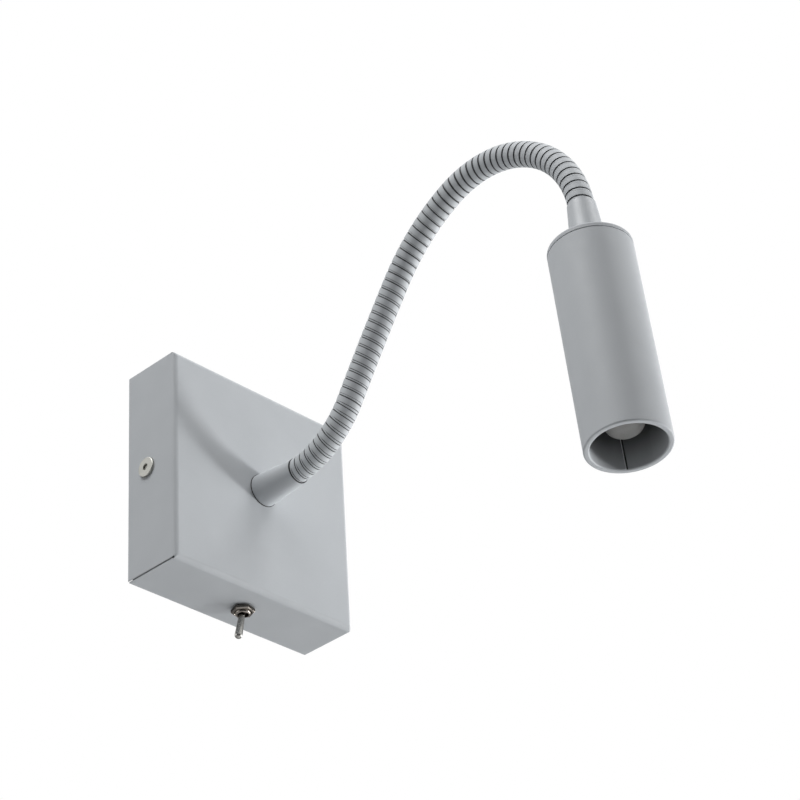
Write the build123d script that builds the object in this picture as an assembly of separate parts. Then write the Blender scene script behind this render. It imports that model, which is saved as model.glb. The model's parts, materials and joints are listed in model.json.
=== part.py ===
from build123d import *
import math
import os

# Wall reading lamp: a square wall box, a flexible neck and a small tube head
# Frame: origin on the wall in the middle of the box, X right, Y into the wall, Z up

# Wall box cover
BOX_WIDTH = 90.0
BOX_DEPTH = 26.0
SHEET = 1.2
BEND_RADIUS = 2.1
CORNER_RADIUS = 0.8
SEAM_WIDTH = 0.3
SEAM_REACH = 3.0
RELIEF_RADIUS = 0.45
RELIEF_FROM_FRONT = 1.4

# Clearances
SLIP = 0.05
LOOSE = 0.2
SEAT = 0.3

# Cover screws, one on each side
SCREW_SHANK_RADIUS = 2.0
SCREW_HEAD_RADIUS = 4.0
SCREW_HEAD_HEIGHT = 1.0
SCREW_HEAD_ROUND = 0.35
SCREW_SOCKET_FLATS = 2.5
SCREW_SOCKET_DEPTH = 0.8
SCREW_FROM_WALL = 10.6
SCREW_DROP = 0.4
SCREW_LENGTH = 8.0

# Wall bracket
BRACKET_SHEET = 1.5
BRACKET_HEIGHT = 52.0
EAR_WIDTH = 18.0
EAR_DEPTH = 18.0
WALL_HOLE_RADIUS = 2.5
WALL_HOLE_SPACING = 60.0
ENTRY_DROP = 14.0
ENTRY_BORE_RADIUS = 4.0
GROMMET_SLEEVE_RADIUS = 6.0
GROMMET_FLANGE_RADIUS = 8.0
GROMMET_FLANGE = 1.5

# Terminal block
POLES = 3
POLE_PITCH = 8.0
BLOCK_HEIGHT = 15.0
BLOCK_DEPTH = 13.0
BLOCK_END = 5.5
BLOCK_RISE = 15.0
CLAMP_RADIUS = 2.5
CLAMP_BORE_RADIUS = 1.5
CLAMP_INSET = 1.0
CLAMP_FROM_PLATE = 5.0
CLAMP_SCREW_RADIUS = 1.3
CLAMP_SCREW_SPREAD = 3.6
CLAMP_SCREW_LENGTH = 6.0
CLAMP_SLOT = 0.6

# Earth screw on the bracket
EARTH_SHANK_RADIUS = 1.9
EARTH_HEAD_RADIUS = 3.6
EARTH_HEAD_HEIGHT = 2.4
EARTH_FROM_END = 15.5
EARTH_RISE = 15.0

# Ferrules at both ends of the neck
BASE_FERRULE_LENGTH = 19.0
UPPER_FERRULE_LENGTH = 19.9
BASE_FERRULE_RADIUS = 6.55
UPPER_FERRULE_RADIUS = 6.8
FERRULE_MOUTH_RADIUS = 5.2
FERRULE_END_ROOM = 0.9
NIPPLE_RADIUS = 4.9
NIPPLE_BORE_RADIUS = 3.3
NIPPLE_GRIP = 8.5
LOCKNUT_FLATS = 14.0
LOCKNUT_HEIGHT = 3.5
WASHER_RADIUS = 8.2
WASHER_HEIGHT = 0.8

# Flexible neck: links with three turns of winding each
NECK_RADIUS = 5.0
WIRE_RADIUS = 1.0
TURN_PITCH = 3.1
TURNS_PER_LINK = 3
LINK_LENGTH = 9.6
LINK_CORE_GAP = 1.1
WIRE_END_GAP = 1.0
BASE_FREE_END = 1.5
UPPER_FREE_END = 4.0
CORE_BORE_RADIUS = 2.0
# The set of the neck in the photograph: runs of joints and the bend at each, in degrees
NECK_RUN_COUNTS = (4, 5, 4, 3, 3, 3)
NECK_BEND_ANGLES = (14.2, -0.6, -7.3, -13.9, -11.7, -11.1)

# Lamp cable and single leads
CABLE_RADIUS = 1.6
CABLE_TAIL = 2.0
LEAD_RADIUS = 0.9
LEAD_BEND = 3.0

# Head
HEAD_RADIUS = 15.3
HEAD_LENGTH = 84.9
HEAD_WALL = 2.1
RIM_ROUND = 0.6
CAP_DISC = 2.0
CAP_ROUND = 0.9
CAP_GROOVE = 0.4
CAP_GROOVE_DEPTH = 0.7
CAP_SPIGOT = 5.0
CAP_SPIGOT_WALL = 1.6
TUBE_SEAM_WIDTH = 0.6
TUBE_SEAM_DEPTH = 0.2
TUBE_SEAM_ANGLE = 43.0

# Lampholder, measured down the head from its cap
HOLDER_SHEET = 1.0
HOLDER_WIDTH = 9.0
HOLDER_FOOT = 2.0
HOLDER_DROP = 24.0
SOCKET_TOP = 15.0
SOCKET_LENGTH = 20.0
SOCKET_WIDTH = 17.0
SOCKET_THICKNESS = 12.0
PIN_SPACING = 9.0
PIN_SLOT_WIDTH = 3.2
PIN_SLOT_THICKNESS = 2.0
PIN_SLOT_DEPTH = 9.0
SOCKET_SCREW_RADIUS = 1.2
SOCKET_SCREW_HEAD = 2.2
SOCKET_SCREW_DEPTH = 3.0
SOCKET_SCREW_DROP = 4.0
CONTACT_THICKNESS = 0.3

# Capsule bulb
BULB_RECESS = 6.0
BULB_RADIUS = 7.2
BULB_TIP_ROUND = 4.8
BULB_WALL = 1.0
BULB_BASE_LENGTH = 12.0
BULB_BASE_WIDTH = 14.0
BULB_BASE_THICKNESS = 9.0
BULB_OVERLAP = 2.0
PIN_RADIUS = 0.5
PIN_LENGTH = 8.0
PIN_LOOP = 1.3

# Toggle switch in the bottom face
SWITCH_LENGTH = 13.0
SWITCH_WIDTH = 8.0
SWITCH_BODY_HEIGHT = 9.5
SWITCH_PLATE = 0.8
SWITCH_WASHER_RADIUS = 5.6
SWITCH_WASHER = 0.6
BUSHING_RADIUS = 2.95
BUSHING_BORE_RADIUS = 1.95
BUSHING_PROUD = 3.2
BUSHING_TAPER = 0.7
SWITCH_NUT_FLATS = 8.0
SWITCH_NUT_HEIGHT = 2.0
LUG_PITCH = 4.7
LUG_WIDTH = 2.0
LUG_THICKNESS = 0.8
LUG_LENGTH = 4.5
LEVER_LENGTH = 12.9
LEVER_TIP_RADIUS = 1.5
LEVER_STEM_RADIUS = 1.05
LEVER_BALL_RADIUS = 1.85
LEVER_TAIL = 3.0
LEVER_TAIL_RADIUS = 0.7
LEVER_PIVOT_IN = 1.9
LEVER_TILT = 12.5

# Positions that follow from the sizes above
FRONT_Y = -BOX_DEPTH
INNER_FRONT_Y = -BOX_DEPTH + SHEET
SIDE_X = BOX_WIDTH / 2
INNER_SIDE_X = BOX_WIDTH / 2 - SHEET
BOTTOM_Z = -BOX_WIDTH / 2
INNER_BOTTOM_Z = -BOX_WIDTH / 2 + SHEET
EAR_OUTER_X = INNER_SIDE_X - SEAT
EARTH_ACROSS = EARTH_FROM_END - EAR_OUTER_X
WINDING_RADIUS = NECK_RADIUS - WIRE_RADIUS
CORE_RADIUS = WINDING_RADIUS - WIRE_RADIUS - 2 * SLIP
JOINTS = sum(NECK_RUN_COUNTS)
LINKS = JOINTS + 1
WASHER_Y = INNER_FRONT_Y + WASHER_HEIGHT
LOCKNUT_Y = WASHER_Y + LOCKNUT_HEIGHT
CABLE_END_Y = LOCKNUT_Y + CABLE_TAIL
PLATE_FRONT_Y = -BRACKET_SHEET
SWITCH_Y = -BOX_DEPTH / 2
SWITCH_WASHER_Z = INNER_BOTTOM_Z + SWITCH_WASHER
SWITCH_PLATE_Z = SWITCH_WASHER_Z + SWITCH_PLATE
SWITCH_TOP_Z = SWITCH_PLATE_Z + SWITCH_BODY_HEIGHT
BUSHING_END_Z = BOTTOM_Z - BUSHING_PROUD
LEVER_PIVOT_Z = BUSHING_END_Z + LEVER_PIVOT_IN
SOCKET_MOUTH = SOCKET_TOP + SOCKET_LENGTH
BULB_TIP = HEAD_LENGTH - BULB_RECESS
LOCKNUT_DROP = CAP_DISC + HOLDER_SHEET + LOCKNUT_HEIGHT


def direction(heading):
    """Unit direction of the neck: heading 0 points straight out from the wall, 90 points up."""
    up = math.radians(heading)
    return Vector(0, -math.cos(up), math.sin(up))


def neck_directions():
    """Direction of every link, from the one in the base ferrule to the one in the upper ferrule."""
    heading = 0.0
    found = [direction(heading)]
    for count, bend in zip(NECK_RUN_COUNTS, NECK_BEND_ANGLES):
        for step in range(count):
            heading += bend
            found.append(direction(heading))
    return found


def neck_joints():
    """The bending point between each link and the next."""
    directions = neck_directions()
    point = Vector(0, FRONT_Y - BASE_FERRULE_LENGTH - BASE_FREE_END, 0)
    found = [point]
    for step in range(1, LINKS - 1):
        point = point + directions[step] * LINK_LENGTH
        found.append(point)
    return found


def link_plane(number):
    """Frame at a link's start: Z along the link, X to the right."""
    directions = neck_directions()
    joints = neck_joints()
    if number == 0:
        start = joints[0] - directions[0] * LINK_LENGTH
    else:
        start = joints[number - 1]
    return Plane(origin=start, x_dir=(1, 0, 0), z_dir=directions[number])


def head_plane():
    """Frame at the top of the head cap: Z points back up the neck."""
    along = neck_directions()[-1]
    top = neck_joints()[-1] + along * (UPPER_FREE_END + UPPER_FERRULE_LENGTH)
    return Plane(origin=top, x_dir=(1, 0, 0), z_dir=along * -1)


def rod(radius, start, end):
    """Round bar between two points."""
    span = Vector(*end) - Vector(*start)
    frame = Plane(origin=start, z_dir=span)
    return frame * Cylinder(radius, span.length, align=(Align.CENTER, Align.CENTER, Align.MIN))


def block(x0, x1, y0, y1, z0, z1):
    """Box between given limits."""
    centre = ((x0 + x1) / 2, (y0 + y1) / 2, (z0 + z1) / 2)
    return Pos(*centre) * Box(x1 - x0, y1 - y0, z1 - z0)


def hex_bar(flats, start, end):
    """Hexagonal bar between two points."""
    span = Vector(*end) - Vector(*start)
    frame = Plane(origin=start, z_dir=span)
    outline = RegularPolygon(radius=flats / 2, side_count=6, major_radius=False)
    return extrude(frame * outline, amount=span.length)


def turned(points, frame=Plane.XY):
    """Solid turned about the frame's Z from (radius, height) points."""
    outline = make_face(Polyline(*[(r, 0, h) for r, h in points], close=True))
    return frame * revolve(outline, Axis.Z)


def lead(radius, *points):
    """Insulated lead swept along a route with round bends."""
    route = FilletPolyline(*points, radius=LEAD_BEND)
    return sweep(Plane(origin=route @ 0, z_dir=route % 0) * Circle(radius), route)


def cover_shell():
    """Folded cover with mitred corner seams, relief holes and holes for screws, neck and switch."""
    half = BOX_WIDTH / 2
    shell = block(-half, half, FRONT_Y, 0, -half, half)
    front_edges = shell.edges().filter_by_position(Axis.Y, FRONT_Y, FRONT_Y)
    shell = fillet(front_edges, BEND_RADIUS)
    long_edges = shell.edges().filter_by(Axis.Y)
    shell = fillet(long_edges, CORNER_RADIUS)
    inner = half - SHEET
    hollow = block(-inner, inner, INNER_FRONT_Y, SHEET, -inner, inner)
    inner_edges = hollow.edges().filter_by_position(Axis.Y, INNER_FRONT_Y, INNER_FRONT_Y)
    hollow = fillet(inner_edges, BEND_RADIUS - SHEET)
    shell -= hollow
    seam_front = FRONT_Y + RELIEF_FROM_FRONT
    seam = block(-SEAM_REACH, SEAM_REACH, seam_front, SHEET, -SEAM_WIDTH / 2, SEAM_WIDTH / 2)
    for side in (-1, 1):
        for level in (-1, 1):
            corner = Pos(side * half, 0, level * half)
            shell -= corner * Rot(0, -45 * side * level, 0) * seam
            out = Vector(side, 0, level)
            middle = Vector(side * half, seam_front, level * half)
            shell -= rod(RELIEF_RADIUS, middle - out * SEAM_REACH, middle + out * SEAM_REACH)
    shell -= rod(
        SCREW_SHANK_RADIUS + LOOSE,
        (-half - SHEET, -SCREW_FROM_WALL, -SCREW_DROP),
        (half + SHEET, -SCREW_FROM_WALL, -SCREW_DROP),
    )
    shell -= rod(NIPPLE_RADIUS + LOOSE, (0, FRONT_Y - SHEET, 0), (0, INNER_FRONT_Y + SHEET, 0))
    shell -= rod(
        BUSHING_RADIUS + LOOSE,
        (0, SWITCH_Y, BOTTOM_Z - SHEET),
        (0, SWITCH_Y, INNER_BOTTOM_Z + SHEET),
    )
    return shell


def cover_screws():
    """Two low button-head screws through the cover's sides into the bracket's ears."""
    made = []
    for side in (-1, 1):
        seat = (side * SIDE_X, -SCREW_FROM_WALL, -SCREW_DROP)
        frame = Plane(origin=seat, z_dir=(side, 0, 0))
        head = Cylinder(
            SCREW_HEAD_RADIUS,
            SCREW_HEAD_HEIGHT,
            align=(Align.CENTER, Align.CENTER, Align.MIN),
        )
        head = fillet(head.edges().group_by(Axis.Z)[-1], SCREW_HEAD_ROUND)
        shank = Pos(0, 0, -SCREW_LENGTH) * Cylinder(
            SCREW_SHANK_RADIUS,
            SCREW_LENGTH,
            align=(Align.CENTER, Align.CENTER, Align.MIN),
        )
        socket = hex_bar(
            SCREW_SOCKET_FLATS,
            (0, 0, SCREW_HEAD_HEIGHT - SCREW_SOCKET_DEPTH),
            (0, 0, SCREW_HEAD_HEIGHT + SHEET),
        )
        made.append(frame * (head + shank - socket))
    return made


def wall_bracket():
    """Wall plate with two ears, wall screw holes, cable entry and earth screw hole."""
    half = BRACKET_HEIGHT / 2
    plate = block(-EAR_OUTER_X, EAR_OUTER_X, -BRACKET_SHEET, 0, -half, half)
    for side in (-1, 1):
        inside = side * (EAR_OUTER_X - BRACKET_SHEET)
        outside = side * EAR_OUTER_X
        low, high = sorted((inside, outside))
        plate += block(low, high, -EAR_DEPTH, 0, -EAR_WIDTH / 2, EAR_WIDTH / 2)
    plate -= rod(
        SCREW_SHANK_RADIUS + SLIP,
        (-SIDE_X, -SCREW_FROM_WALL, -SCREW_DROP),
        (SIDE_X, -SCREW_FROM_WALL, -SCREW_DROP),
    )
    for side in (-1, 1):
        across = side * WALL_HOLE_SPACING / 2
        plate -= rod(WALL_HOLE_RADIUS, (across, -2 * BRACKET_SHEET, 0), (across, BRACKET_SHEET, 0))
    plate -= rod(
        GROMMET_SLEEVE_RADIUS + SLIP,
        (0, -2 * BRACKET_SHEET, -ENTRY_DROP),
        (0, BRACKET_SHEET, -ENTRY_DROP),
    )
    plate -= rod(
        EARTH_SHANK_RADIUS + SLIP,
        (EARTH_ACROSS, -2 * BRACKET_SHEET, EARTH_RISE),
        (EARTH_ACROSS, BRACKET_SHEET, EARTH_RISE),
    )
    return plate


def entry_grommet():
    """Rubber sleeve in the cable entry, flush with the wall."""
    frame = Plane(origin=(0, 0, -ENTRY_DROP), x_dir=(1, 0, 0), z_dir=(0, -1, 0))
    return turned(
        [
            (ENTRY_BORE_RADIUS, 0),
            (GROMMET_SLEEVE_RADIUS, 0),
            (GROMMET_SLEEVE_RADIUS, BRACKET_SHEET),
            (GROMMET_FLANGE_RADIUS, BRACKET_SHEET),
            (GROMMET_FLANGE_RADIUS, BRACKET_SHEET + GROMMET_FLANGE),
            (ENTRY_BORE_RADIUS, BRACKET_SHEET + GROMMET_FLANGE),
        ],
        frame,
    )


def pole_positions():
    """Across position of each terminal."""
    first = -(POLES - 1) / 2 * POLE_PITCH
    return [first + number * POLE_PITCH for number in range(POLES)]


def clamp_y():
    """Depth of the terminal clamps."""
    return PLATE_FRONT_Y - CLAMP_FROM_PLATE


def terminal_housing():
    """Insulating block with a tunnel for each clamp and a well above each screw."""
    half = (POLES - 1) / 2 * POLE_PITCH + BLOCK_END
    low = BLOCK_RISE - BLOCK_HEIGHT / 2
    high = BLOCK_RISE + BLOCK_HEIGHT / 2
    front = PLATE_FRONT_Y - BLOCK_DEPTH
    housing = block(-half, half, front, PLATE_FRONT_Y, low, high)
    for across in pole_positions():
        housing -= rod(
            CLAMP_RADIUS + SLIP,
            (across, clamp_y(), low - SHEET),
            (across, clamp_y(), high + SHEET),
        )
        for level in (-1, 1):
            rise = BLOCK_RISE + level * CLAMP_SCREW_SPREAD
            housing -= rod(
                CLAMP_SCREW_RADIUS + LOOSE,
                (across, front - SHEET, rise),
                (across, clamp_y(), rise),
            )
    return housing


def terminal_clamps():
    """Brass clamp tubes, each with two screw holes."""
    made = []
    half = BLOCK_HEIGHT / 2 - CLAMP_INSET
    for across in pole_positions():
        clamp = rod(
            CLAMP_RADIUS,
            (across, clamp_y(), BLOCK_RISE - half),
            (across, clamp_y(), BLOCK_RISE + half),
        )
        clamp -= rod(
            CLAMP_BORE_RADIUS,
            (across, clamp_y(), BLOCK_RISE - BLOCK_HEIGHT),
            (across, clamp_y(), BLOCK_RISE + BLOCK_HEIGHT),
        )
        for level in (-1, 1):
            rise = BLOCK_RISE + level * CLAMP_SCREW_SPREAD
            clamp -= rod(
                CLAMP_SCREW_RADIUS + SLIP,
                (across, clamp_y() - BLOCK_DEPTH, rise),
                (across, clamp_y(), rise),
            )
        made.append(clamp)
    return made


def terminal_screws():
    """Slotted clamp screws, two in each terminal."""
    made = []
    deep = clamp_y() - SEAT
    for across in pole_positions():
        for level in (-1, 1):
            rise = BLOCK_RISE + level * CLAMP_SCREW_SPREAD
            top = deep - CLAMP_SCREW_LENGTH
            screw = rod(CLAMP_SCREW_RADIUS, (across, deep, rise), (across, top, rise))
            screw -= block(
                across - BLOCK_END,
                across + BLOCK_END,
                top - CLAMP_SLOT,
                top + CLAMP_SLOT,
                rise - CLAMP_SLOT / 2,
                rise + CLAMP_SLOT / 2,
            )
            made.append(screw)
    return made


def earth_screw():
    """Earth screw that clamps the earth lead to the bracket."""
    frame = Plane(origin=(EARTH_ACROSS, PLATE_FRONT_Y, EARTH_RISE), x_dir=(1, 0, 0), z_dir=(0, -1, 0))
    screw = turned(
        [
            (0, -BRACKET_SHEET),
            (EARTH_SHANK_RADIUS, -BRACKET_SHEET),
            (EARTH_SHANK_RADIUS, 0),
            (EARTH_HEAD_RADIUS, 0),
            (EARTH_HEAD_RADIUS, EARTH_HEAD_HEIGHT),
            (0, EARTH_HEAD_HEIGHT),
        ],
        frame,
    )
    top = PLATE_FRONT_Y - EARTH_HEAD_HEIGHT
    slot = block(
        EARTH_ACROSS - BLOCK_END,
        EARTH_ACROSS + BLOCK_END,
        top - SHEET,
        top + CLAMP_SLOT,
        EARTH_RISE - CLAMP_SLOT / 2,
        EARTH_RISE + CLAMP_SLOT / 2,
    )
    return screw - slot


def ferrule(frame, length, wide, free_end):
    """Tapered collar: nipple thread at its wide end, socket for the neck at its mouth."""
    socket = length + free_end - LINK_LENGTH - FERRULE_END_ROOM
    return turned(
        [
            (NIPPLE_RADIUS + SLIP, 0),
            (wide, 0),
            (FERRULE_MOUTH_RADIUS, length),
            (NECK_RADIUS + SLIP, length),
            (NECK_RADIUS + SLIP, socket),
            (NIPPLE_BORE_RADIUS, socket),
            (NIPPLE_BORE_RADIUS, NIPPLE_GRIP + SEAT),
            (NIPPLE_RADIUS + SLIP, NIPPLE_GRIP + SEAT),
        ],
        frame,
    )


def nipple(frame, inside):
    """Hollow threaded nipple from inside the ferrule to inside the box or head."""
    return turned(
        [
            (NIPPLE_BORE_RADIUS, -inside),
            (NIPPLE_RADIUS, -inside),
            (NIPPLE_RADIUS, NIPPLE_GRIP),
            (NIPPLE_BORE_RADIUS, NIPPLE_GRIP),
        ],
        frame,
    )


def locknut(frame, start):
    """Hexagon locknut on a nipple."""
    nut = hex_bar(LOCKNUT_FLATS, (0, 0, -start - LOCKNUT_HEIGHT), (0, 0, -start))
    nut -= rod(NIPPLE_RADIUS + SLIP, (0, 0, -start - 2 * LOCKNUT_HEIGHT), (0, 0, 0))
    return frame * nut


def base_plane():
    """Frame of the base ferrule: Z straight out from the box front."""
    return Plane(origin=(0, FRONT_Y, 0), x_dir=(1, 0, 0), z_dir=(0, -1, 0))


def base_washer():
    """Washer under the base locknut."""
    return turned(
        [
            (NIPPLE_RADIUS + LOOSE, -SHEET - WASHER_HEIGHT),
            (WASHER_RADIUS, -SHEET - WASHER_HEIGHT),
            (WASHER_RADIUS, -SHEET),
            (NIPPLE_RADIUS + LOOSE, -SHEET),
        ],
        base_plane(),
    )


def helix_point(angle):
    """Point on a link's winding, angle in radians from its start."""
    lift = (LINK_LENGTH - TURNS_PER_LINK * TURN_PITCH) / 2
    return Vector(
        WINDING_RADIUS * math.cos(angle),
        -WINDING_RADIUS * math.sin(angle),
        lift + TURN_PITCH * angle / (2 * math.pi),
    )


def helix_tangent(angle):
    """Direction of a link's winding."""
    return Vector(
        -WINDING_RADIUS * math.sin(angle),
        -WINDING_RADIUS * math.cos(angle),
        TURN_PITCH / (2 * math.pi),
    ).normalized()


def biarc(start, leave, end, arrive):
    """Two arcs that run from one point to another with given directions."""
    span = end - start
    both = leave + arrive
    bend = 2 * (1 - leave.dot(arrive))
    along = span.dot(both)
    reach = (math.sqrt(along * along + bend * span.dot(span)) - along) / bend
    middle = (start + end + (leave - arrive) * reach) / 2
    first = Edge.make_tangent_arc(start, leave, middle)
    second = Edge.make_tangent_arc(middle, first % 1, end)
    return [first, second]


def link_winding():
    """Three turns of round wire wound about one link."""
    trim = WIRE_END_GAP / 2 / WINDING_RADIUS
    begin = trim
    finish = TURNS_PER_LINK * 2 * math.pi - trim
    steps = TURNS_PER_LINK * 4
    angles = [begin + (finish - begin) * step / steps for step in range(steps + 1)]
    edges = []
    for low, high in zip(angles, angles[1:]):
        edges += biarc(helix_point(low), helix_tangent(low), helix_point(high), helix_tangent(high))
    route = Wire(edges)
    start = Plane(origin=helix_point(begin), z_dir=helix_tangent(begin))
    return sweep(start * Circle(WIRE_RADIUS), route)


def winding_gap():
    """Least clear gap between two passes of a link's winding, measured on points."""
    per_turn = 72
    count = TURNS_PER_LINK * per_turn
    points = [helix_point(2 * math.pi * step / per_turn) for step in range(count + 1)]
    least = LINK_LENGTH
    for here in range(count + 1):
        for there in range(here + per_turn // 2, count + 1):
            least = min(least, (points[here] - points[there]).length - 2 * WIRE_RADIUS)
    return least


def link_core():
    """Inner tube of one link, with room at both ends for the bend."""
    half_gap = LINK_CORE_GAP / 2
    return turned(
        [
            (CORE_BORE_RADIUS, half_gap),
            (CORE_RADIUS, half_gap),
            (CORE_RADIUS, LINK_LENGTH - half_gap),
            (CORE_BORE_RADIUS, LINK_LENGTH - half_gap),
        ]
    )


def neck_cable():
    """Lamp cable from inside the box, through the neck, to inside the head."""
    directions = neck_directions()
    inside = Vector(0, CABLE_END_Y, 0)
    middles = []
    for number in range(LINKS):
        middles.append(link_plane(number).origin + directions[number] * (LINK_LENGTH / 2))
    edges = [Edge.make_line(inside, middles[0])]
    for number in range(LINKS - 1):
        edges.append(arc_or_line(middles[number], directions[number], middles[number + 1]))
    end = head_plane().origin + directions[-1] * (LOCKNUT_DROP + CABLE_TAIL)
    edges.append(Edge.make_line(middles[-1], end))
    route = Wire(edges)
    start = Plane(origin=inside, z_dir=(0, -1, 0))
    return sweep(start * Circle(CABLE_RADIUS), route)


def arc_or_line(start, leave, end):
    """Arc that leaves a point in a given direction, or a line where there is no bend."""
    span = (end - start).normalized()
    if span.dot(leave) > 1 - 1e-9:
        return Edge.make_line(start, end)
    return Edge.make_tangent_arc(start, leave, end)


def switch_body():
    """Insulating body of the switch."""
    half = SWITCH_LENGTH / 2
    deep = SWITCH_WIDTH / 2
    body = block(-half, half, SWITCH_Y - deep, SWITCH_Y + deep, SWITCH_PLATE_Z, SWITCH_TOP_Z)
    body -= rod(
        BUSHING_BORE_RADIUS,
        (0, SWITCH_Y, SWITCH_PLATE_Z - SHEET),
        (0, SWITCH_Y, SWITCH_PLATE_Z + LEVER_TAIL),
    )
    return body


def switch_bushing():
    """Frame plate and threaded bushing, bored for the lever."""
    half = SWITCH_LENGTH / 2
    deep = SWITCH_WIDTH / 2
    bushing = block(-half, half, SWITCH_Y - deep, SWITCH_Y + deep, SWITCH_WASHER_Z, SWITCH_PLATE_Z)
    frame = Plane(origin=(0, SWITCH_Y, 0), x_dir=(1, 0, 0), z_dir=(0, 0, 1))
    bushing += turned(
        [
            (0, BUSHING_END_Z),
            (BUSHING_RADIUS - BUSHING_TAPER, BUSHING_END_Z),
            (BUSHING_RADIUS, BUSHING_END_Z + BUSHING_TAPER),
            (BUSHING_RADIUS, SWITCH_PLATE_Z),
            (0, SWITCH_PLATE_Z),
        ],
        frame,
    )
    bushing -= rod(
        BUSHING_BORE_RADIUS,
        (0, SWITCH_Y, BUSHING_END_Z - SHEET),
        (0, SWITCH_Y, SWITCH_PLATE_Z + SHEET),
    )
    return bushing


def switch_washer():
    """Lock washer between the switch and the cover."""
    frame = Plane(origin=(0, SWITCH_Y, INNER_BOTTOM_Z), x_dir=(1, 0, 0), z_dir=(0, 0, 1))
    return turned(
        [
            (BUSHING_RADIUS + SLIP, 0),
            (SWITCH_WASHER_RADIUS, 0),
            (SWITCH_WASHER_RADIUS, SWITCH_WASHER),
            (BUSHING_RADIUS + SLIP, SWITCH_WASHER),
        ],
        frame,
    )


def switch_nut():
    """Hexagon nut that holds the switch from outside."""
    low = BOTTOM_Z - SWITCH_NUT_HEIGHT
    nut = hex_bar(SWITCH_NUT_FLATS, (0, SWITCH_Y, low), (0, SWITCH_Y, BOTTOM_Z))
    nut -= rod(BUSHING_RADIUS + SLIP, (0, SWITCH_Y, low - SHEET), (0, SWITCH_Y, BOTTOM_Z + SHEET))
    return nut


def lug_positions():
    """Across position of the switch's two used lugs and the spare one."""
    return [-LUG_PITCH, 0, LUG_PITCH]


def switch_lugs():
    """Solder lugs on the switch's back."""
    made = []
    for across in lug_positions():
        made.append(
            block(
                across - LUG_THICKNESS / 2,
                across + LUG_THICKNESS / 2,
                SWITCH_Y - LUG_WIDTH / 2,
                SWITCH_Y + LUG_WIDTH / 2,
                SWITCH_TOP_Z,
                SWITCH_TOP_Z + LUG_LENGTH,
            )
        )
    return made


def lever_plane():
    """Frame of the lever: Z from its tip to its pivot, tilted as it rests."""
    tilt = math.radians(LEVER_TILT)
    return Plane(
        origin=(0, SWITCH_Y, LEVER_PIVOT_Z),
        x_dir=(math.cos(tilt), 0, -math.sin(tilt)),
        z_dir=(math.sin(tilt), 0, math.cos(tilt)),
    )


def toggle_lever():
    """Bat lever with its pivot ball and the tail that works the contacts."""
    tip = -LEVER_LENGTH + LEVER_TIP_RADIUS
    lever = Sphere(LEVER_BALL_RADIUS)
    lever += turned(
        [(0, tip), (LEVER_TIP_RADIUS, tip), (LEVER_STEM_RADIUS, 0), (0, 0)],
    )
    lever += Pos(0, 0, tip) * Sphere(LEVER_TIP_RADIUS)
    lever += turned(
        [(0, 0), (LEVER_TAIL_RADIUS, 0), (LEVER_TAIL_RADIUS, LEVER_TAIL), (0, LEVER_TAIL)],
    )
    return lever_plane() * lever


def live_lead():
    """Lead from the terminal block to the switch's end lug."""
    across = pole_positions()[0]
    low = BLOCK_RISE - BLOCK_HEIGHT / 2
    lug = lug_positions()[0]
    return lead(
        LEAD_RADIUS,
        (across, clamp_y(), low + CLAMP_INSET + LEAD_RADIUS),
        (across, clamp_y(), low - 2 * LEAD_BEND),
        (lug - LUG_PITCH, clamp_y(), low - 5 * LEAD_BEND),
        (lug, SWITCH_Y, SWITCH_TOP_Z + LUG_LENGTH + 3 * LEAD_BEND),
        (lug, SWITCH_Y, SWITCH_TOP_Z + LUG_LENGTH + SLIP),
    )


def switched_lead():
    """Lead from the switch's middle lug to the lamp cable."""
    return lead(
        LEAD_RADIUS,
        (0, SWITCH_Y, SWITCH_TOP_Z + LUG_LENGTH + SLIP),
        (0, SWITCH_Y, -LEAD_RADIUS - SLIP),
        (0, CABLE_END_Y + SLIP, -LEAD_RADIUS - SLIP),
    )


def neutral_lead():
    """Lead from the terminal block to the lamp cable."""
    across = pole_positions()[1]
    low = BLOCK_RISE - BLOCK_HEIGHT / 2
    return lead(
        LEAD_RADIUS,
        (across, clamp_y(), low + CLAMP_INSET + LEAD_RADIUS),
        (across, clamp_y(), LEAD_RADIUS + SLIP),
        (across, CABLE_END_Y + SLIP, LEAD_RADIUS + SLIP),
    )


def earth_lead():
    """Lead from the terminal block to the earth screw."""
    across = pole_positions()[2]
    high = BLOCK_RISE + BLOCK_HEIGHT / 2
    depth = PLATE_FRONT_Y - LEAD_RADIUS
    above = high + 2 * LEAD_BEND
    return lead(
        LEAD_RADIUS,
        (across, clamp_y(), high - CLAMP_INSET - LEAD_RADIUS),
        (across, clamp_y(), above),
        (EARTH_ACROSS, clamp_y(), above),
        (EARTH_ACROSS, depth - SLIP, EARTH_RISE + EARTH_HEAD_RADIUS + 2 * LEAD_BEND),
        (EARTH_ACROSS, depth - SLIP, EARTH_RISE + EARTH_HEAD_RADIUS + SLIP),
    )


def head_cap():
    """Cap disc with a shadow groove and a hollow spigot that fits the tube."""
    spigot = HEAD_RADIUS - HEAD_WALL - SLIP
    groove = HEAD_RADIUS - CAP_GROOVE_DEPTH
    end = CAP_DISC + CAP_GROOVE + CAP_SPIGOT
    cap = turned(
        [
            (NIPPLE_RADIUS + SLIP, 0),
            (HEAD_RADIUS, 0),
            (HEAD_RADIUS, -CAP_DISC),
            (groove, -CAP_DISC),
            (groove, -CAP_DISC - CAP_GROOVE),
            (spigot, -CAP_DISC - CAP_GROOVE),
            (spigot, -end),
            (spigot - CAP_SPIGOT_WALL, -end),
            (spigot - CAP_SPIGOT_WALL, -CAP_DISC),
            (NIPPLE_RADIUS + SLIP, -CAP_DISC),
        ]
    )
    top_edge = [e for e in cap.edges().filter_by(GeomType.CIRCLE) if e.radius > HEAD_RADIUS - SLIP]
    cap = fillet(ShapeList(top_edge).sort_by(Axis.Z)[-1:], CAP_ROUND)
    return head_plane() * cap


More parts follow.
